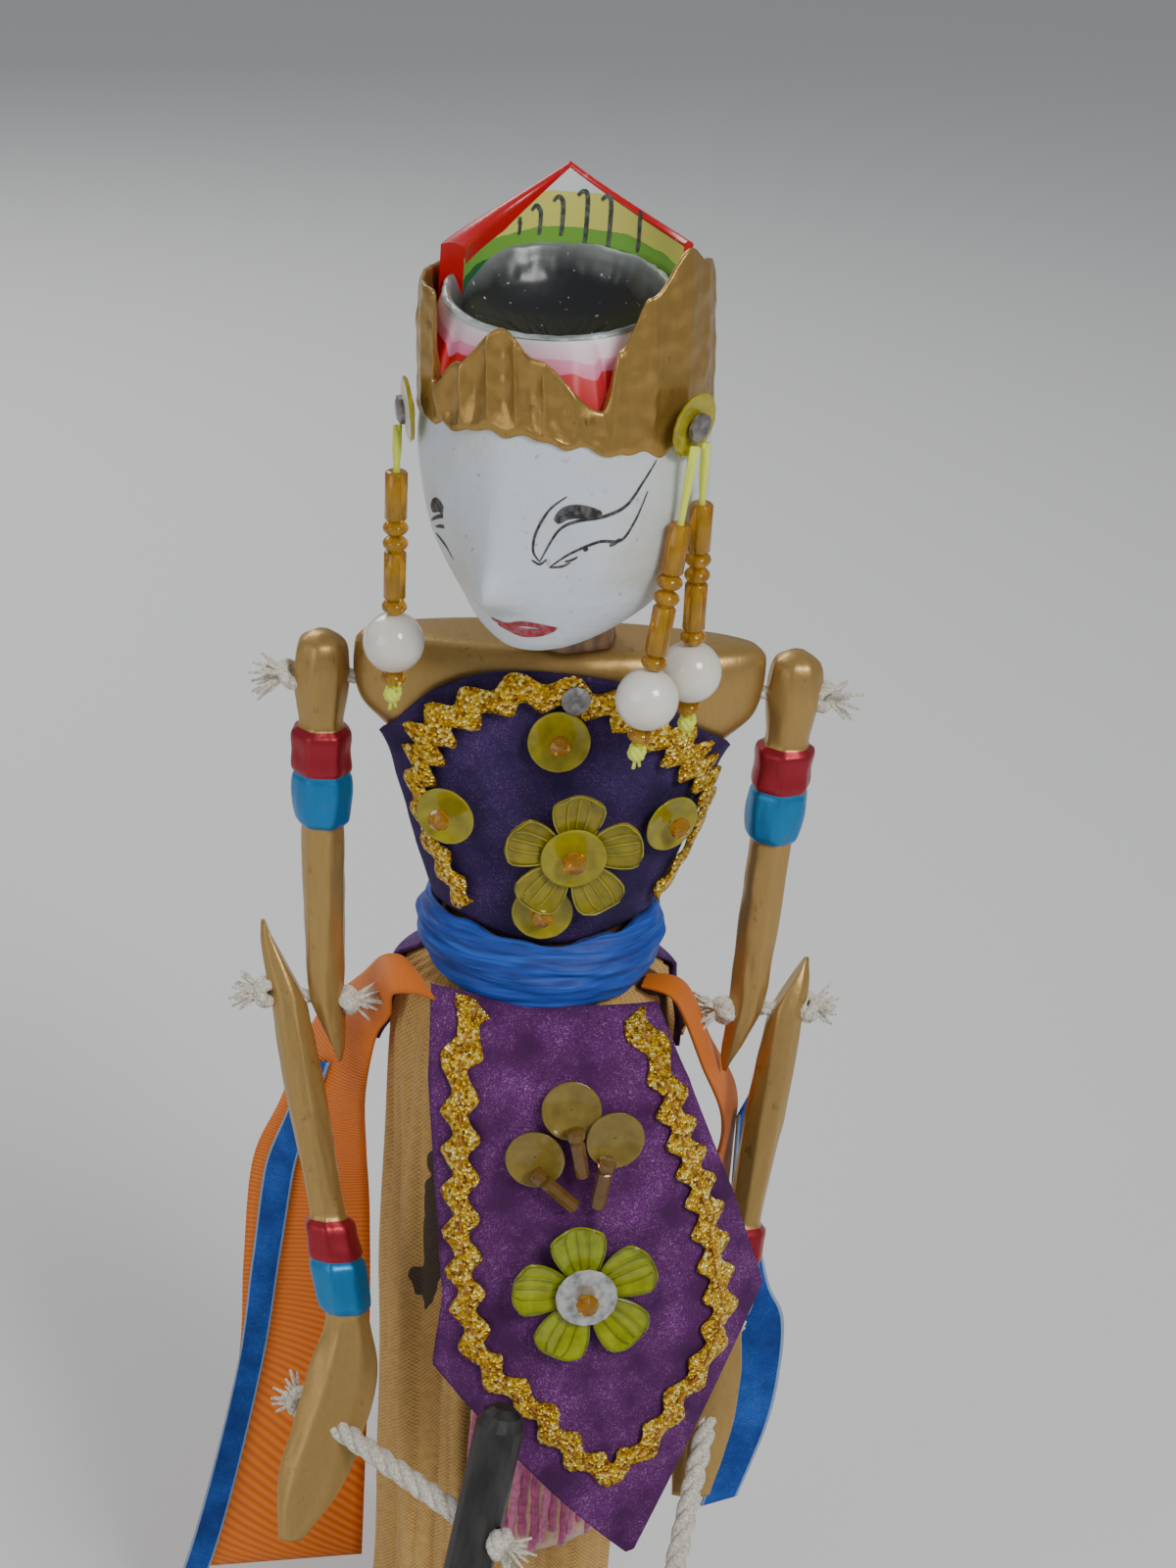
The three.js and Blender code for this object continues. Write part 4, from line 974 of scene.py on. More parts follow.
def ribbon(name, node, edges, made, start=0.0, shares=(0.0, 0.0, 0.0, 1.0, 0.0, 0.0), rise=0.0):
    """shares: inner edge and outer edge across the strip, each as a + b k + c k squared."""
    sign = 1 if node.endswith("right") else -1

    def at(v, u):
        k = start + (1 - start) * v
        p, q = (smooth_path(edge, k) for edge in edges)
        ahead = smooth_path(edges[0], min(1, k + 0.01)) - smooth_path(edges[0], max(0, k - 0.01))
        low = shares[0] + shares[1] * v + shares[2] * v * v
        high = shares[3] + shares[4] * v + shares[5] * v * v
        spot = p.lerp(q, low + (high - low) * u)
        out = (q - p).cross(ahead).normalized() * sign
        bow = 0.5 * math.sin(math.pi * u) * math.sin(math.pi * min(1, v * 1.3))
        return Vector((spot.x, spot.y, WAIST + spot.z)) + out * (rise + bow)
    obj = grid_piece(name, 110, 14, at, made, thickness=0.5)
    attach(obj, "puppet")
    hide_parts(node)
    return obj


orange_right = ribbon("orange_band_right", "orange_ribbon_right", ORANGE_RIGHT, grosgrain)
ribbon("orange_band_left", "orange_ribbon_left", ORANGE_LEFT, grosgrain)
ribbon("blue_band_right", "blue_ribbon_right", ORANGE_RIGHT, blue_velvet, 0.5,
                    (0.46, 0.3, 0.2, 0.8, 0.12, 0.2), BLUE_RISE)
ribbon("blue_band_left", "blue_ribbon_left", BLUE_LEFT, blue_velvet)


# Head: one carved block, a bare brown neck and a white tapering face under a gilt
# crown with an open black bowl and a tall painted crest. Neck and face first.
HEAD_BASE = WAIST + 36
HEAD_TURN = math.radians(-22)
turned = Matrix.Rotation(HEAD_TURN, 3, "Z")


def head_place(x, y, z):
    return turned @ Vector((x, y, 0)) + Vector((0, 0, HEAD_BASE + z))


# Height, middle x and y, half width, half depth, nose
FACE = [
    (9.6, 1.4, -20, 3, 2.4, 0), (10.6, 1.9, -18, 5.8, 5.6, 0), (12.2, 2.1, -15.6, 8.8, 8.8, 0.4),
    (14.8, 2.4, -12.8, 11.9, 12.4, 1.2), (17, 2.3, -11.6, 13.7, 14.3, 3.3),
    (18.6, 2.1, -10.9, 14.8, 15.3, 3.5),
    (21.6, 1.9, -9.8, 16.5, 16.9, 1.9), (27, 1.3, -9, 17.6, 17.7, 1.1), (32, 0.7, -8.5, 17.9, 18, 0.7),
    (38, 0.5, -8.3, 17.3, 17.9, 0),
]


def face_point(angle, z, off=0.0):
    cx, cy, a, b, nose = (flowing(FACE, z, k) for k in range(1, 6))
    x = cx + (a + off) * math.sin(angle)
    front = math.exp(-(abs((x + 1.3) / (0.19 * a)) ** 1.6)) if math.cos(angle) > 0 else 0.0
    socket = 0.85 * math.exp(-((z - 23) / 4.2) ** 2) * math.exp(-((abs(angle + 0.07) - 0.36) / 0.17) ** 2)
    return head_place(x, cy - (b + off - socket) * math.cos(angle) - 1.2 * nose * front, z)


def face_grid(v, u):
    if v == 0:
        return head_place(1.4, -20, 9.5)
    return face_point(2 * math.pi * u, 9.6 + 28.6 * v)


face_white = finish_of("face_paint", (0.7, 0.74, 0.78), 0.5)
tree = face_white.node_tree
pits = noise_of(tree, 900.0, 6.0)
stain = noise_of(tree, 70.0, 5.0)
base = ramp_of(tree, stain, [(0.32, (0.6, 0.6, 0.54)), (0.5, (0.68, 0.73, 0.78))])
speck = math_of(tree, "MULTIPLY", math_of(tree, "SUBTRACT", 0.35, pits), 7.0, clamp=True)
shade(face_white, "Base Color", mixed(tree, speck, base, (0.32, 0.31, 0.3, 1)))
bumped(face_white, pits, 0.5, 0.3)
face = grid_piece("face_carving", 100, 150, face_grid, face_white, closed=True)
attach(face, "head")
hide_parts("head")
neck_wood = grained("neck_wood", (0.36, 0.22, 0.12), (0.16, 0.09, 0.05), 0.6, (700, 700, 90), 0.2)
NECK = [(3.3, 7.2), (5.3, 6.9), (12, 6.9), (18, 7.6)]
neck = grid_piece(
    "neck_carving", 16, 60,
    lambda v, u: head_place(*(flowing(NECK, 3.3 + 14.7 * v) * whittled(5, 2 * math.pi * u, 14 * v) * c
                              for c in (math.sin(2 * math.pi * u), -math.cos(2 * math.pi * u))),
                              3.3 + 14.7 * v),
    neck_wood, closed=True, capped=True)
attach(neck, "head")


# Crown: a gilt wall with gouged flutes, whose edge rises in a front peak and two side
# wings. Behind it a painted slope climbs to the black bowl with its worn rim.
CROWN_A, CROWN_B, CROWN_X, CROWN_Y = 18.1, 18.9, 0.5, -8.3
CROWN_TOP_X, BOWL_X = -0.7, -1.5
RIM = [(-3.15, 50), (-1.75, 50.6), (-0.8, 51), (-0.68, 40.6), (-0.45, 44.2), (-0.1, 49.4), (0.15, 46.4),
       (0.62, 40.8),
       (0.72, 47.8), (0.92, 53.6), (1.26, 58.6), (1.5, 56.6), (2.2, 52.5), (3.15, 50)]


def around_crown(u):
    return math.pi * (2 * u - 1)


def crown_point(scale, z, t, middle):
    return head_place(middle + scale * CROWN_A * math.sin(t), CROWN_Y - scale * CROWN_B * math.cos(t), z)


def crown_foot(t):
    return 37 - 2.9 * abs(math.sin(t)) ** 1.6 + 0.3 * math.sin(17 * t) + 0.2 * math.sin(29 * t + 1)


def slope_foot(t):
    return min(stations(RIM, t) - 0.4, 41.6 + 3.5 * (1 - math.cos(t)))


def bowl_rim(t):
    return 50.2 - 2.3 * math.cos(t - 0.27) + 0.6 * math.sin(t)


WALL = [(0, 0.93), (0.04, 0.975), (0.3, 0.985), (0.6, 0.98), (0.82, 0.963), (0.87, 0.945), (0.93, 0.92),
        (1, 0.886)]


def crown_wall(v, u):
    t = around_crown(u)
    rim = stations(RIM, t)
    low = crown_foot(t)
    up = min(1, v / 0.86)
    z = low + (rim - low) * up
    if v > 0.93:
        z = rim + (slope_foot(t) - rim) * (v - 0.93) / 0.07
    rounded = -0.5 * max(0.0, abs(v - 0.88) - 0.02) if 0.8 < v < 0.93 else 0
    front = math.exp(-((t + 0.15) / 0.75) ** 2) + 0.55 * math.exp(-((t + 1.6) / 0.5) ** 2) + 0.25
    gouges = abs(math.sin(13 * t + 0.9 * math.sin(3 * t))) ** 0.7
    reach = math.sin(math.pi * min(1, max(0.0, (up - 0.12) / 0.95))) ** 0.6 * (1 if v < 0.86 else 0)
    cut = -0.85 * min(1, max(0.0, (rim - low - 3)
                             / 6)) * front * gouges * reach + 0.2 * noise.noise(Vector((9 * math.sin(t),
                                                                                        9 * math.cos(t),
                                                                                        z * 0.5)))
    middle = CROWN_X + (CROWN_TOP_X - CROWN_X) * up
    return crown_point(flowing(WALL, v) + cut / CROWN_A, z + rounded, t, middle)


crown_gilt, _ = worn("crown_gilt", (0.46, 0.28, 0.075), (0.14, 0.075, 0.025), 0.41, 320, 0.32, 0.25,
                     Metallic=0.7)
crown = grid_piece("crown_wall", 60, 640, crown_wall, crown_gilt, closed=True)
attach(crown, "head")

petal_paint = finish_of("petal_paint", (0.75, 0.4, 0.42), 0.4)
tree = petal_paint.node_tree
uv = put(tree, "ShaderNodeSeparateXYZ", {0: put(tree, "ShaderNodeTexCoord").outputs["UV"]})
shake = noise_of(tree, 120.0, 2.0)
level_ = math_of(tree, "ADD", uv.outputs["Y"],
                 math_of(tree, "MULTIPLY", math_of(tree, "SUBTRACT", shake, 0.5), 0.35))
shade(petal_paint, "Base Color", ramp_of(tree, level_, [
    (0.0, (0.6, 0.004, 0.008)), (0.38, (0.62, 0.006, 0.012)), (0.4, (0.76, 0.2, 0.33)),
    (0.6, (0.78, 0.26, 0.4)),
    (0.62, (0.8, 0.5, 0.6)), (0.85, (0.82, 0.6, 0.68)), (0.95, (0.75, 0.78, 0.8))]))
bumped(petal_paint, shake, 0.3, 0.2)


def crown_slope(v, u):
    t = around_crown(u)
    low = slope_foot(t)
    z = low + (bowl_rim(t) - low) * v ** 0.9
    return crown_point(0.89 - 0.15 * v, z, t, CROWN_TOP_X + (BOWL_X - CROWN_TOP_X) * v)


slope = grid_piece("crown_slope", 24, 240, crown_slope, petal_paint, closed=True)
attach(slope, "head")
BOWL = [(0, 0.76, -0.25), (0.05, 0.74, 0.15), (0.1, 0.71, 0.0), (0.2, 0.67, -1.6), (0.35, 0.6, -3.4),
        (0.6, 0.42, -5), (1, 0.01, -5.6)]


def bowl(v, u):
    t = around_crown(u)
    drop = flowing(BOWL, v, 2)
    floor_share = min(1, max(0.0, (v - 0.2) / 0.6))
    z = (bowl_rim(t) + drop) * (1 - floor_share) + (50.2 + drop - 1.4) * floor_share
    chip = 0.16 * noise.noise(Vector((9 * math.sin(t), 9 * math.cos(t), v * 8)))
    return crown_point(flowing(BOWL, v, 1) + chip / CROWN_A, z + chip, t, BOWL_X)


bowl_black = finish_of("bowl_paint", (0.02, 0.02, 0.02), 0.3)
tree = bowl_black.node_tree
uv = put(tree, "ShaderNodeSeparateXYZ", {0: put(tree, "ShaderNodeTexCoord").outputs["UV"]})
dust = noise_of(tree, 130.0, 8.0)
edge = math_of(tree, "ADD", uv.outputs["Y"], math_of(tree, "MULTIPLY",
                                                     math_of(tree, "SUBTRACT", dust, 0.5), 0.35))
wiped = ramp_of(tree, edge, [
    (0.0, (0.5, 0.54, 0.55)), (0.07, (0.2, 0.225, 0.22)), (0.2, (0.09, 0.1, 0.098)),
    (0.32, (0.014, 0.015, 0.016))])
spatter = noise_of(tree, 1300.0, 3.0)
spots = math_of(tree, "MULTIPLY", math_of(tree, "SUBTRACT", spatter, 0.69), 12.0, clamp=True)
shade(bowl_black, "Base Color", mixed(tree, spots, wiped, (0.55, 0.6, 0.62, 1)))
bumped(bowl_black, dust, 0.4, 0.3)
bowl_piece = grid_piece("crown_bowl", 60, 360, bowl, bowl_black, closed=True)
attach(bowl_piece, "head")


# Crest: a gabled plate bent round behind the bowl, red over its thick edge and back,
# with green, yellow and white bands inside and a row of hooked grey strokes.
CREST_FOOT = 44


def crest_top(s):
    return 54.6 + s + 7.2 * (1 - abs(s)) ** 1.9


def crest_thick(s):
    return 3 - 1.8 * min(1, s + 1)


def crest_point(s, z, off):
    t = math.pi + math.radians(20) - 1.3 * s
    return head_place(CROWN_TOP_X + (0.86 * CROWN_A - off) * math.sin(t),
                      CROWN_Y - (0.86 * CROWN_B - off) * math.cos(t), z)


def crest_lap(s):
    """How far the red paint laps down over the inner face."""
    return 0.3 + 2.1 * max(0.0, min(1.0, -s * 2.2)) * max(0.0, min(1.0, (s + 1.05) * 8))


def crest_level(s, z):
    """Share for the painted bands, which sink towards both ends."""
    sunk = 2.4 * max(0.0, (-s - 0.2) / 0.8) + 1.9 * max(0.0, (s - 0.4) / 0.6)
    return (z + sunk - CREST_FOOT) / 20


def crest_face(v, u):
    s = 2 * u - 1
    return crest_point(s, CREST_FOOT + (crest_top(s) - crest_lap(s) - CREST_FOOT) * v, crest_thick(s))


banded_paint = finish_of("crest_paint", (0.8, 0.8, 0.75), 0.42)
tree = banded_paint.node_tree
uv = put(tree, "ShaderNodeSeparateXYZ", {0: put(tree, "ShaderNodeTexCoord").outputs["UV"]})
shake = noise_of(tree, 300.0, 4.0)
level_ = math_of(tree, "ADD", uv.outputs["Y"],
                 math_of(tree, "MULTIPLY", math_of(tree, "SUBTRACT", shake, 0.5), 0.05))
BANDS = [
    (0.0, (0.015, 0.05, 0.03)), (0.33, (0.02, 0.16, 0.05)), (0.4, (0.2, 0.46, 0.06)),
    (0.51, (0.76, 0.74, 0.16)),
    (0.73, (0.82, 0.85, 0.86)),
]
shade(banded_paint, "Base Color", ramp_of(tree, level_, BANDS, "CONSTANT"))
bumped(banded_paint, shake, 0.4, 0.2)
crest_front = grid_piece("crest_front", 30, 110, crest_face, banded_paint)
layer = crest_front.data.uv_layers["uv"]
for loop in crest_front.data.loops:
    s = 2 * layer.data[loop.index].uv.x - 1
    z = crest_front.data.vertices[loop.vertex_index].co.z / MM - HEAD_BASE
    layer.data[loop.index].uv = (s, crest_level(s, z))
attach(crest_front, "head")
# Red paint over the crest's edge, back and ends. The pink-white colour let through the wear mask in broad
# patches is a painted highlight, standing in for the pink sheen on the top of the edge.
crest_red, _ = worn("crest_red", (0.6, 0.004, 0.008), (0.8, 0.35, 0.42), 0.42, 60, 0.3)


def crest_shell(v, u):
    """Over the thick edge and down the back."""
    s = 2 * u - 1
    top = crest_top(s)
    if v < 0.1:
        return crest_point(s, top - crest_lap(s) * (1 - v * 10), crest_thick(s) + 0.03)
    if v < 0.4:
        f = (v - 0.1) / 0.3
        return crest_point(s, top + 0.35 * math.sin(math.pi * f), crest_thick(s) * (1 - f))
    return crest_point(s, top + (CREST_FOOT - top) * (v - 0.4) / 0.6, 0)


crest_back = grid_piece("crest_edge", 30, 110, crest_shell, crest_red)
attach(crest_back, "head")
for name, s in (("crest_end_left", 1), ("crest_end_right", -1)):
    end = grid_piece(name, 12, 6, lambda v, u, s=s: crest_point(
        s, CREST_FOOT + (crest_top(s) + 0.35 * math.sin(math.pi * u) - CREST_FOOT) * v,
        crest_thick(s) * u), crest_red)
    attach(end, "head")


# Painted strokes: fine brush lines on the face, red lips, and the crest's hooked
# strokes, each a thin skin of paint that follows the carving.
black_line = finish_of("brush_black", (0.02, 0.018, 0.018), 0.5)
red_line = finish_of("brush_red", (0.32, 0.01, 0.02), 0.4)
grey_line = finish_of("brush_grey", (0.05, 0.065, 0.05), 0.6)
for made in (black_line, red_line, grey_line):
    tree = made.node_tree
    tone = tree.nodes["Principled BSDF"].inputs["Base Color"].default_value[:3]
    thin = noise_of(tree, 1500.0, 4.0)
    shade(made, "Base Color", ramp_of(tree, thin, [(0.42, tone), (0.66, tuple(c + 0.1 for c in tone))]))


def stroke(points, wide, surface, lift=0.06, ends=0.3):
    """A tapered flat strip through points given on the surface."""
    path = [Vector((*p, 0)) for p in points]
    made, faces = [], []
    steps = 10 * (len(points) - 1)
    for i in range(steps + 1):
        f = i / steps
        p = smooth_path(path, f)
        ahead = smooth_path(path, min(1, f + 0.01)) - smooth_path(path, max(0, f - 0.01))
        side_way = Vector((-ahead.y, ahead.x, 0)).normalized()
        half = wide / 2 * (ends + (1 - ends) * max(0.0, math.sin(math.pi * f)) ** 0.7)
        for k in (-1, 0, 1):
            q = p + side_way * half * k
            made.append(surface(q.x, q.y, lift))
    for i in range(steps):
        for k in (0, 1):
            a = 3 * i + k
            faces.append((a, a + 1, a + 4, a + 3))
    return made, faces


def on_face(x, z, lift):
    return face_point(x / 18, z, lift)


EYES = [
    ([(6, 31), (3.9, 29.2), (2.3, 26.4), (1.9, 24.1), (2.6, 22.8)], 0.32),
    ([(2.6, 22.8), (4.8, 26.7), (7.1, 28.1), (10.5, 28.8), (13.2, 30), (15.4, 32.6), (17.3, 34.9)], 0.42),
    ([(3.7, 22.1), (6.4, 24.1), (9.8, 25.7), (12.6, 25.8), (14.2, 27.8), (16, 31.4)], 0.38),
    ([(3.7, 22.1), (5.2, 22.3), (6.3, 22.9)], 0.3), ([(1.7, 23), (2.6, 22.5), (3.4, 23.1)], 0.3),
    ([(4.6, 27.8), (5.9, 29), (7.8, 29.3), (10.1, 29)], 1.7),
    ([(5.5, 22.9), (6.4, 23.2), (7.2, 23.7)], 0.3),
    ([(7.9, 24.6), (8.2, 24.7), (8.5, 24.9)], 0.5), ([(11.2, 25.2), (11.8, 25.5), (12.6, 26)], 0.55),
    ([(-16.8, 22.9), (-11.5, 25), (-10.6, 23), (-11.3, 19.4)], 0.6),
    ([(-15.9, 21.7), (-13.1, 21.1), (-11.9, 19.7)], 0.55),
    ([(-15.7, 24.6), (-13.1, 25.9), (-11.4, 25.2)], 1.7),
    ([(-15.1, 22.7), (-11.5, 23.5), (-10.9, 20.7)], 0.5),
    ([(-9.6, 27.6), (-8.7, 24.6), (-8.6, 21.4), (-10.2, 19.2)], 0.4),
]
eyes = gathered("painted_eyes", [stroke(points, wide, on_face) for points, wide in EYES], black_line)
lips = gathered("painted_lips", [
    stroke([(-6.3, 14.3), (-3.3, 13.6), (0.4, 14.2), (6.6, 14)], 0.8, on_face, 0.08),
    stroke([(-5.2, 13.6), (-0.8, 12.9), (3.8, 13.2), (6.5, 13.9)], 1.3, on_face, 0.1),
], red_line)
HOOKS = [(-0.33, 55.5, 53.3), (-0.18, 56.8, 53.2), (-0.03, 57.9, 53.1), (0.13, 58.75, 52.2),
         (0.29, 58.5, 52.2),
         (0.51, 57.5, 52.4)]
CREST_HALF = 20  # millimetres from the crest's middle to its end, along it


def on_crest(x, z, lift):
    s = x / CREST_HALF
    return crest_point(s, z, crest_thick(s) + lift)


hooks = []
for s, top, foot in HOOKS:
    x = s * CREST_HALF
    bend = 0.0 if s > 0.4 or s < -0.3 else 1.3
    hooks.append(stroke([(x - bend, top - 0.6), (x - bend * 0.5, top), (x, top - 0.7),
                         (x + 0.1, foot + 1.4), (x, foot)],
                        0.6, on_crest, 0.06, 0.7))
crest_hooks = gathered("crest_strokes", hooks, grey_line)
for obj in (eyes, lips, crest_hooks):
    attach(obj, "head")


# Earrings: neon-yellow thread through amber bugles, seed beads and a pearl, hung from
# a steel nail over a clear yellow sequin at each ear.
def clear_finish(name, colour, roughness=0.12, transmission=0.35):
    made = finish_of(name, colour, roughness, Transmission_Weight=transmission, IOR=1.46)
    tree = made.node_tree
    cloudy = noise_of(tree, 500.0, 3.0)
    low = tuple(0.65 * c for c in colour)
    shade(made, "Base Color", ramp_of(tree, cloudy, [(0.3, low), (0.7, colour)]))
    bumped(made, cloudy, 0.2, 0.1)
    return made


thread = finish_of("neon_thread", (0.78, 0.86, 0.1), 0.7)
amber = clear_finish("amber_bead", (0.8, 0.4, 0.03), 0.05, 0.7)
pearl = finish_of("pearl", (0.84, 0.8, 0.7), 0.18, Coat_Weight=0.7, Sheen_Weight=0.2)
tree = pearl.node_tree
lustre = noise_of(tree, 160.0, 2.0)
shade(pearl, "Base Color", ramp_of(tree, lustre, [(0.3, (0.76, 0.7, 0.56)), (0.7, (0.9, 0.88, 0.8))]))


def lathe_along(start, line, profile, segments=18):
    _, a, b = frame_along(line)
    made, faces = [], []
    for r, z in profile:
        for k in range(segments):
            t = 2 * math.pi * k / segments
            made.append(start + line * z + (a * math.cos(t) + b * math.sin(t)) * r)
    for i in range(len(profile) - 1):
        for k in range(segments):
            n = (k + 1) % segments
            faces.append((i * segments + k, i * segments + n, (i + 1) * segments + n,
                          (i + 1) * segments + k))
    return made, faces


def ball(radius, steps=12, hole=0.3):
    return [(max(hole, radius * math.sin(math.pi * k / steps)),
             radius * (1 - math.cos(math.pi * k / steps)))
            for k in range(steps + 1)]


BEADS = [(1.4, 6.2), (1.6, 2), (1.6, 2), (1.4, 6.2), (1.6, 2)]
PEARL, LAST_BEAD, TAIL = 7.5, 2, 4


def round_bead(radius, long):
    return [(0.5 + (radius - 0.5) * math.sin(math.pi * k / 8) ** 0.6, long * k / 8) for k in range(9)]


for where_ in ("left_front", "left_rear", "right_front"):
    node = "earring_strand_" + where_
    p, q = ends_of(node)
    top, foot = (p, q) if p.z > q.z else (q, p)
    line = (foot - top).normalized()
    z = (foot - top).length - sum(long for _, long in BEADS) - PEARL - LAST_BEAD - TAIL
    parts, beads = [tube([top + line * k * (foot - top).length / 24 for k in range(24)], 0.42, 8)], []
    for k in (0.25, -0.25):
        parts.append(tube([top + Vector((k, 0, 0.6)), top + line * z * 0.5 + Vector((k, 0.1, 0)),
                           top + line * z], 0.32, 7))
    for radius, long in BEADS:
        if long > 3:
            shape = [(0.5, 0.1), (radius - 0.25, 0), (radius, 0.25), (radius, long - 0.25),
                     (radius - 0.25, long), (0.5, long - 0.1)]
            beads.append(lathe_along(top + line * z, line, shape, 6 if radius < 1.3 else 18))
        else:
            beads.append(lathe_along(top + line * z, line, round_bead(radius, long)))
        z += long
    pearl_ball = lathe_along(top + line * (z - 0.1), line, ball(PEARL / 2 + 0.1, 22), 36)
    z += PEARL
    beads.append(lathe_along(top + line * z, line, round_bead(1.6, LAST_BEAD)))
    knot_at = top + line * (z + LAST_BEAD + 1.1)
    for loop in range(3):
        u = Vector((math.cos(loop), math.sin(loop), 0.3))
        w = Vector((-math.sin(loop) * 0.6, math.cos(loop) * 0.6, 0.8))
        parts.append(tube([knot_at + u * 0.8 * math.cos(t) + w * 0.8 * math.sin(t)
                           for t in (2 * math.pi * k / 12 for k in range(13))], 0.42, 6))
    for k in range(4):
        splay = Vector((0.5 * math.sin(2 * k), 0.5 * math.cos(2 * k), -1.6 - 0.3 * k))
        parts.append(tube([knot_at, knot_at + splay * 0.6, knot_at + splay], 0.2, 5))
    strand = gathered("thread_" + where_, parts, thread)
    bead_obj = gathered("beads_" + where_, beads, amber)
    pearl_obj = gathered("pearl_" + where_, [pearl_ball], pearl)
    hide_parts(node)
    for obj in (strand, bead_obj, pearl_obj):
        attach(obj, "head")


# Flower sequins: five cupped petals pressed from clear coloured film, creased along
# their middles, one on the chest and one on the apron.
def flower_part(centre, normal, rise_way, radius):
    """Five petal grids round the centre, the first pointing up, and their creases."""
    side_way = rise_way.cross(normal).normalized()
    parts, creases = [], []
    for k in range(5):
        turn = math.radians(72 * k)
        way = rise_way * math.cos(turn) + side_way * math.sin(turn)
        cross = normal.cross(way)
        made, faces, rows, cols = [], [], 18, 14

        def spot(r, u, rise=0.0):
            wide = 0.1 + 0.27 * math.sin(math.pi / 2 * min(1.0, (r - 0.16) / 0.66))
            wide *= 1 - 0.45 * max(0.0, (r - 0.84) / 0.16) ** 2
            reach = r - 0.05 * u * u * r
            cup = 0.16 * r * r + 0.1 * abs(u) ** 1.5 + rise
            return centre + way * (radius * reach) + cross * (radius * wide
                                                              * u) + normal * (radius * cup * 0.6)

        for i in range(rows + 1):
            for j in range(cols + 1):
                made.append(spot(0.16 + 0.84 * i / rows, 2 * j / cols - 1))
        for i in range(rows):
            for j in range(cols):
                a = i * (cols + 1) + j
                faces.append((a, a + 1, a + cols + 2, a + cols + 1))
        for u in (-0.42, 0.0, 0.42):
            creases.append(tube([spot(0.36 + 0.6 * q / 6, u, 0.05) for q in range(7)], 0.07, 5))
        rim = [spot(0.3 + 0.7 * q / 8, -1, 0.04)
               for q in range(9)] + [spot(1, 2 * q / 8 - 1, 0.04) for q in range(1, 8)]
        rim += [spot(1 - 0.7 * q / 8, 1, 0.04) for q in range(9)]
        creases.append(tube(rim, 0.1, 5))
        parts.append((made, faces))
    return parts, creases


def flower(node, name, made, crease_made, surface, x, y, up_step, lift, radius):
    along = surface(x + 0.3, y, lift) - surface(x - 0.3, y, lift)
    rise_way = (surface(x, y + up_step, lift) - surface(x, y - up_step, lift)).normalized()
    normal = along.cross(rise_way).normalized()
    petals, creases = flower_part(surface(x, y, lift), normal, rise_way, radius)
    obj = gathered(name, petals, made)
    lines = gathered(name + "_creases", creases, crease_made)
    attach(lines, "puppet")
    solid = obj.modifiers.new("thickness", "SOLIDIFY")
    solid.thickness, solid.offset = 0.28 * MM, 1.0
    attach(obj, "puppet")
    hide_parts(node)


flower("chest_flower", "chest_petals", clear_finish("clear_sequin", (0.42, 0.34, 0.015), 0.1, 0.3),
       clear_finish("petal_edge", (0.62, 0.58, 0.06)),
       lambda x, height, lift: torso_at(x / 20, height, CHEST_OFF + lift), 1.9, 13.9, 0.3, 2.3, 9.2)
flower("apron_flower", "apron_petals", clear_finish("green_sequin", (0.46, 0.52, 0.012), 0.1, 0.25),
       clear_finish("petal_fold", (0.3, 0.34, 0.02)),
       lambda x, down, lift: apron_at(x, down, APRON_OFF + lift), -0.2, 36.8, -0.3, 0.5, 10)


# Cup sequins on the chest and apron: round stamped film, dished to the thread hole and
# faceted near the rim, each held by the bead over its middle.
def sequin(node, name, made, surface, x, y, up_step, lift, radius, high=1.0):
    centre = surface(x, y, lift)
    along = surface(x + 0.3, y, lift) - surface(x - 0.3, y, lift)
    normal = along.cross(surface(x, y + up_step, lift) - surface(x, y - up_step, lift)).normalized()
    _, a, b = frame_along(normal)

    def dish(v, u):
        turn = 2 * math.pi * u
        r = 0.02 + 0.98 * v
        cup = 0.25 + 0.75 * max(0.0, (r - 0.3) / 0.7) ** 1.4 - 0.12 * abs(math.sin(6 * turn)) * max(0.0,
                                                                                                    r - 0.5)
        return centre + (a * math.cos(turn) + b * math.sin(turn)) * (radius * r) + normal * (high * cup)
    obj = grid_piece(name, 12, 72, dish, made, closed=True, thickness=-0.2)
    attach(obj, "puppet")
    if node:
        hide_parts(node)


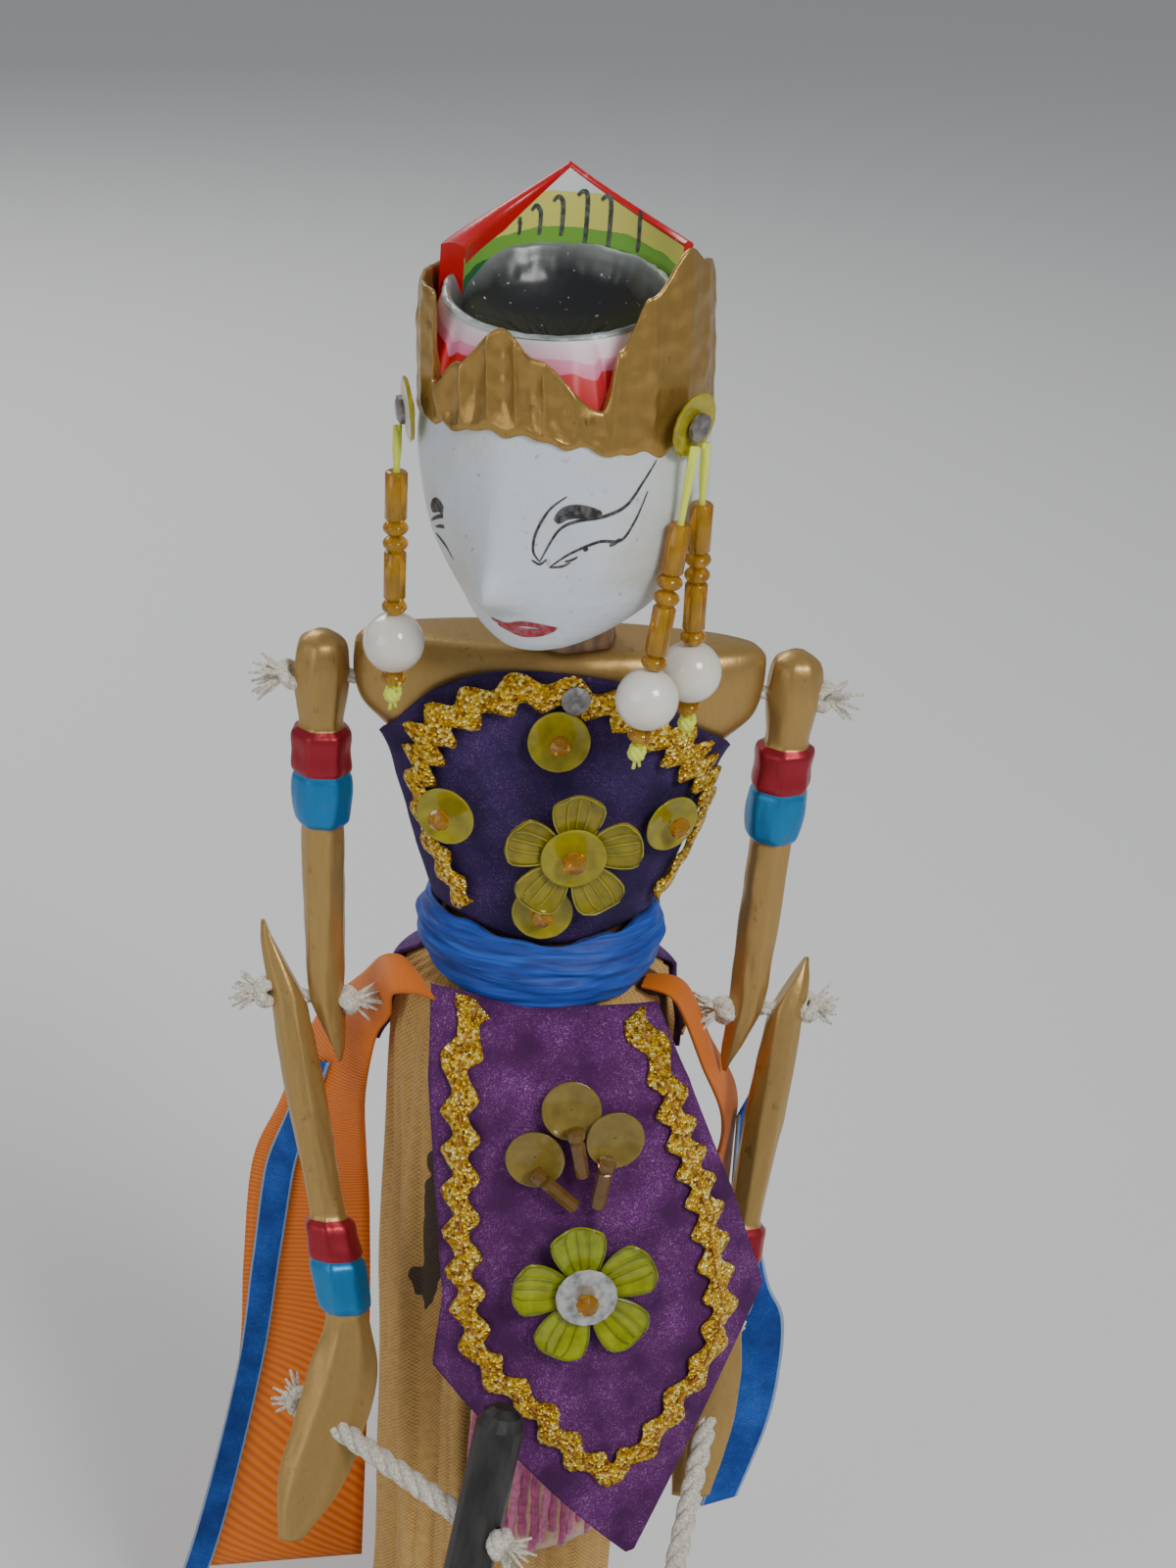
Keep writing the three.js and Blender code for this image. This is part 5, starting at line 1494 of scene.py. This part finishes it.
olive = clear_finish("olive_sequin", (0.5, 0.42, 0.02), 0.1, 0.25)
for side, angle, height, lift in (("upper", -0.02, 28.7, 0.45), ("left", 0.78, 16.7, 0.45),
                                  ("right", -0.68, 17.4, 1.5),
                                  ("waist", -0.06, 4.4, 0.45)):
    sequin("chest_sequin_" + side, "chest_cup_" + side, olive,
           lambda x, up_, off: torso_at(x / 20, up_, CHEST_OFF + off), angle * 20, height, 0.3, lift, 4)
sequin(None, "chest_cup_flower", olive,
       lambda x, up_, off: torso_at(x / 20, up_, CHEST_OFF + off), 1.9, 13.9, 0.3, 2.8, 4.3, 0.8)
tawny = clear_finish("brown_sequin", (0.36, 0.25, 0.045), 0.1, 0.3)
for k, (across_, down_, lift) in enumerate(((1.8, 9.8, 0.1), (-4, 16.6, 0.1), (6.9, 13.9, 1.1))):
    sequin(f"apron_sequin_{k + 1}", f"apron_cup_{k + 1}", tawny,
           lambda x, down, off: apron_at(x, down, APRON_OFF + off), across_, down_, -0.3, lift, 3.9)


# Sequins, beads and nail heads: CAD solids with clear, coloured or metal finishes.
FINISHES = {
    "ear_sequin_": clear_finish("yellow_sequin", (0.66, 0.56, 0.04)),
    "chest_flower_bead": amber, "apron_flower_bead": amber, "chest_bead_": amber,
    "apron_flower_disc": finish_of("silver_sequin", (0.55, 0.56, 0.54), 0.25, Metallic=0.6),
    "apron_drop_": clear_finish("brown_bead", (0.4, 0.22, 0.05), 0.06, 0.6),
    "ear_nail_": finish_of("nail_steel", (0.3, 0.27, 0.26), 0.4, Metallic=0.7),
    "bodice_tack": finish_of("tack_steel", (0.32, 0.31, 0.3), 0.5, Metallic=0.8),
}
for made in (FINISHES["ear_nail_"], FINISHES["bodice_tack"], FINISHES["apron_flower_disc"]):
    tree = made.node_tree
    scuff = noise_of(tree, 900.0, 5.0)
    tone = made.node_tree.nodes["Principled BSDF"].inputs["Base Color"].default_value[:3]
    shade(made, "Base Color", ramp_of(tree, scuff, [(0.3, tuple(0.45 * c for c in tone)), (0.6, tone)]))
    bumped(made, scuff, 0.4, 0.1)
for node in frame["nodes"]:
    for start, made in FINISHES.items():
        if node.startswith(start):
            paint_node(node, made)
            break
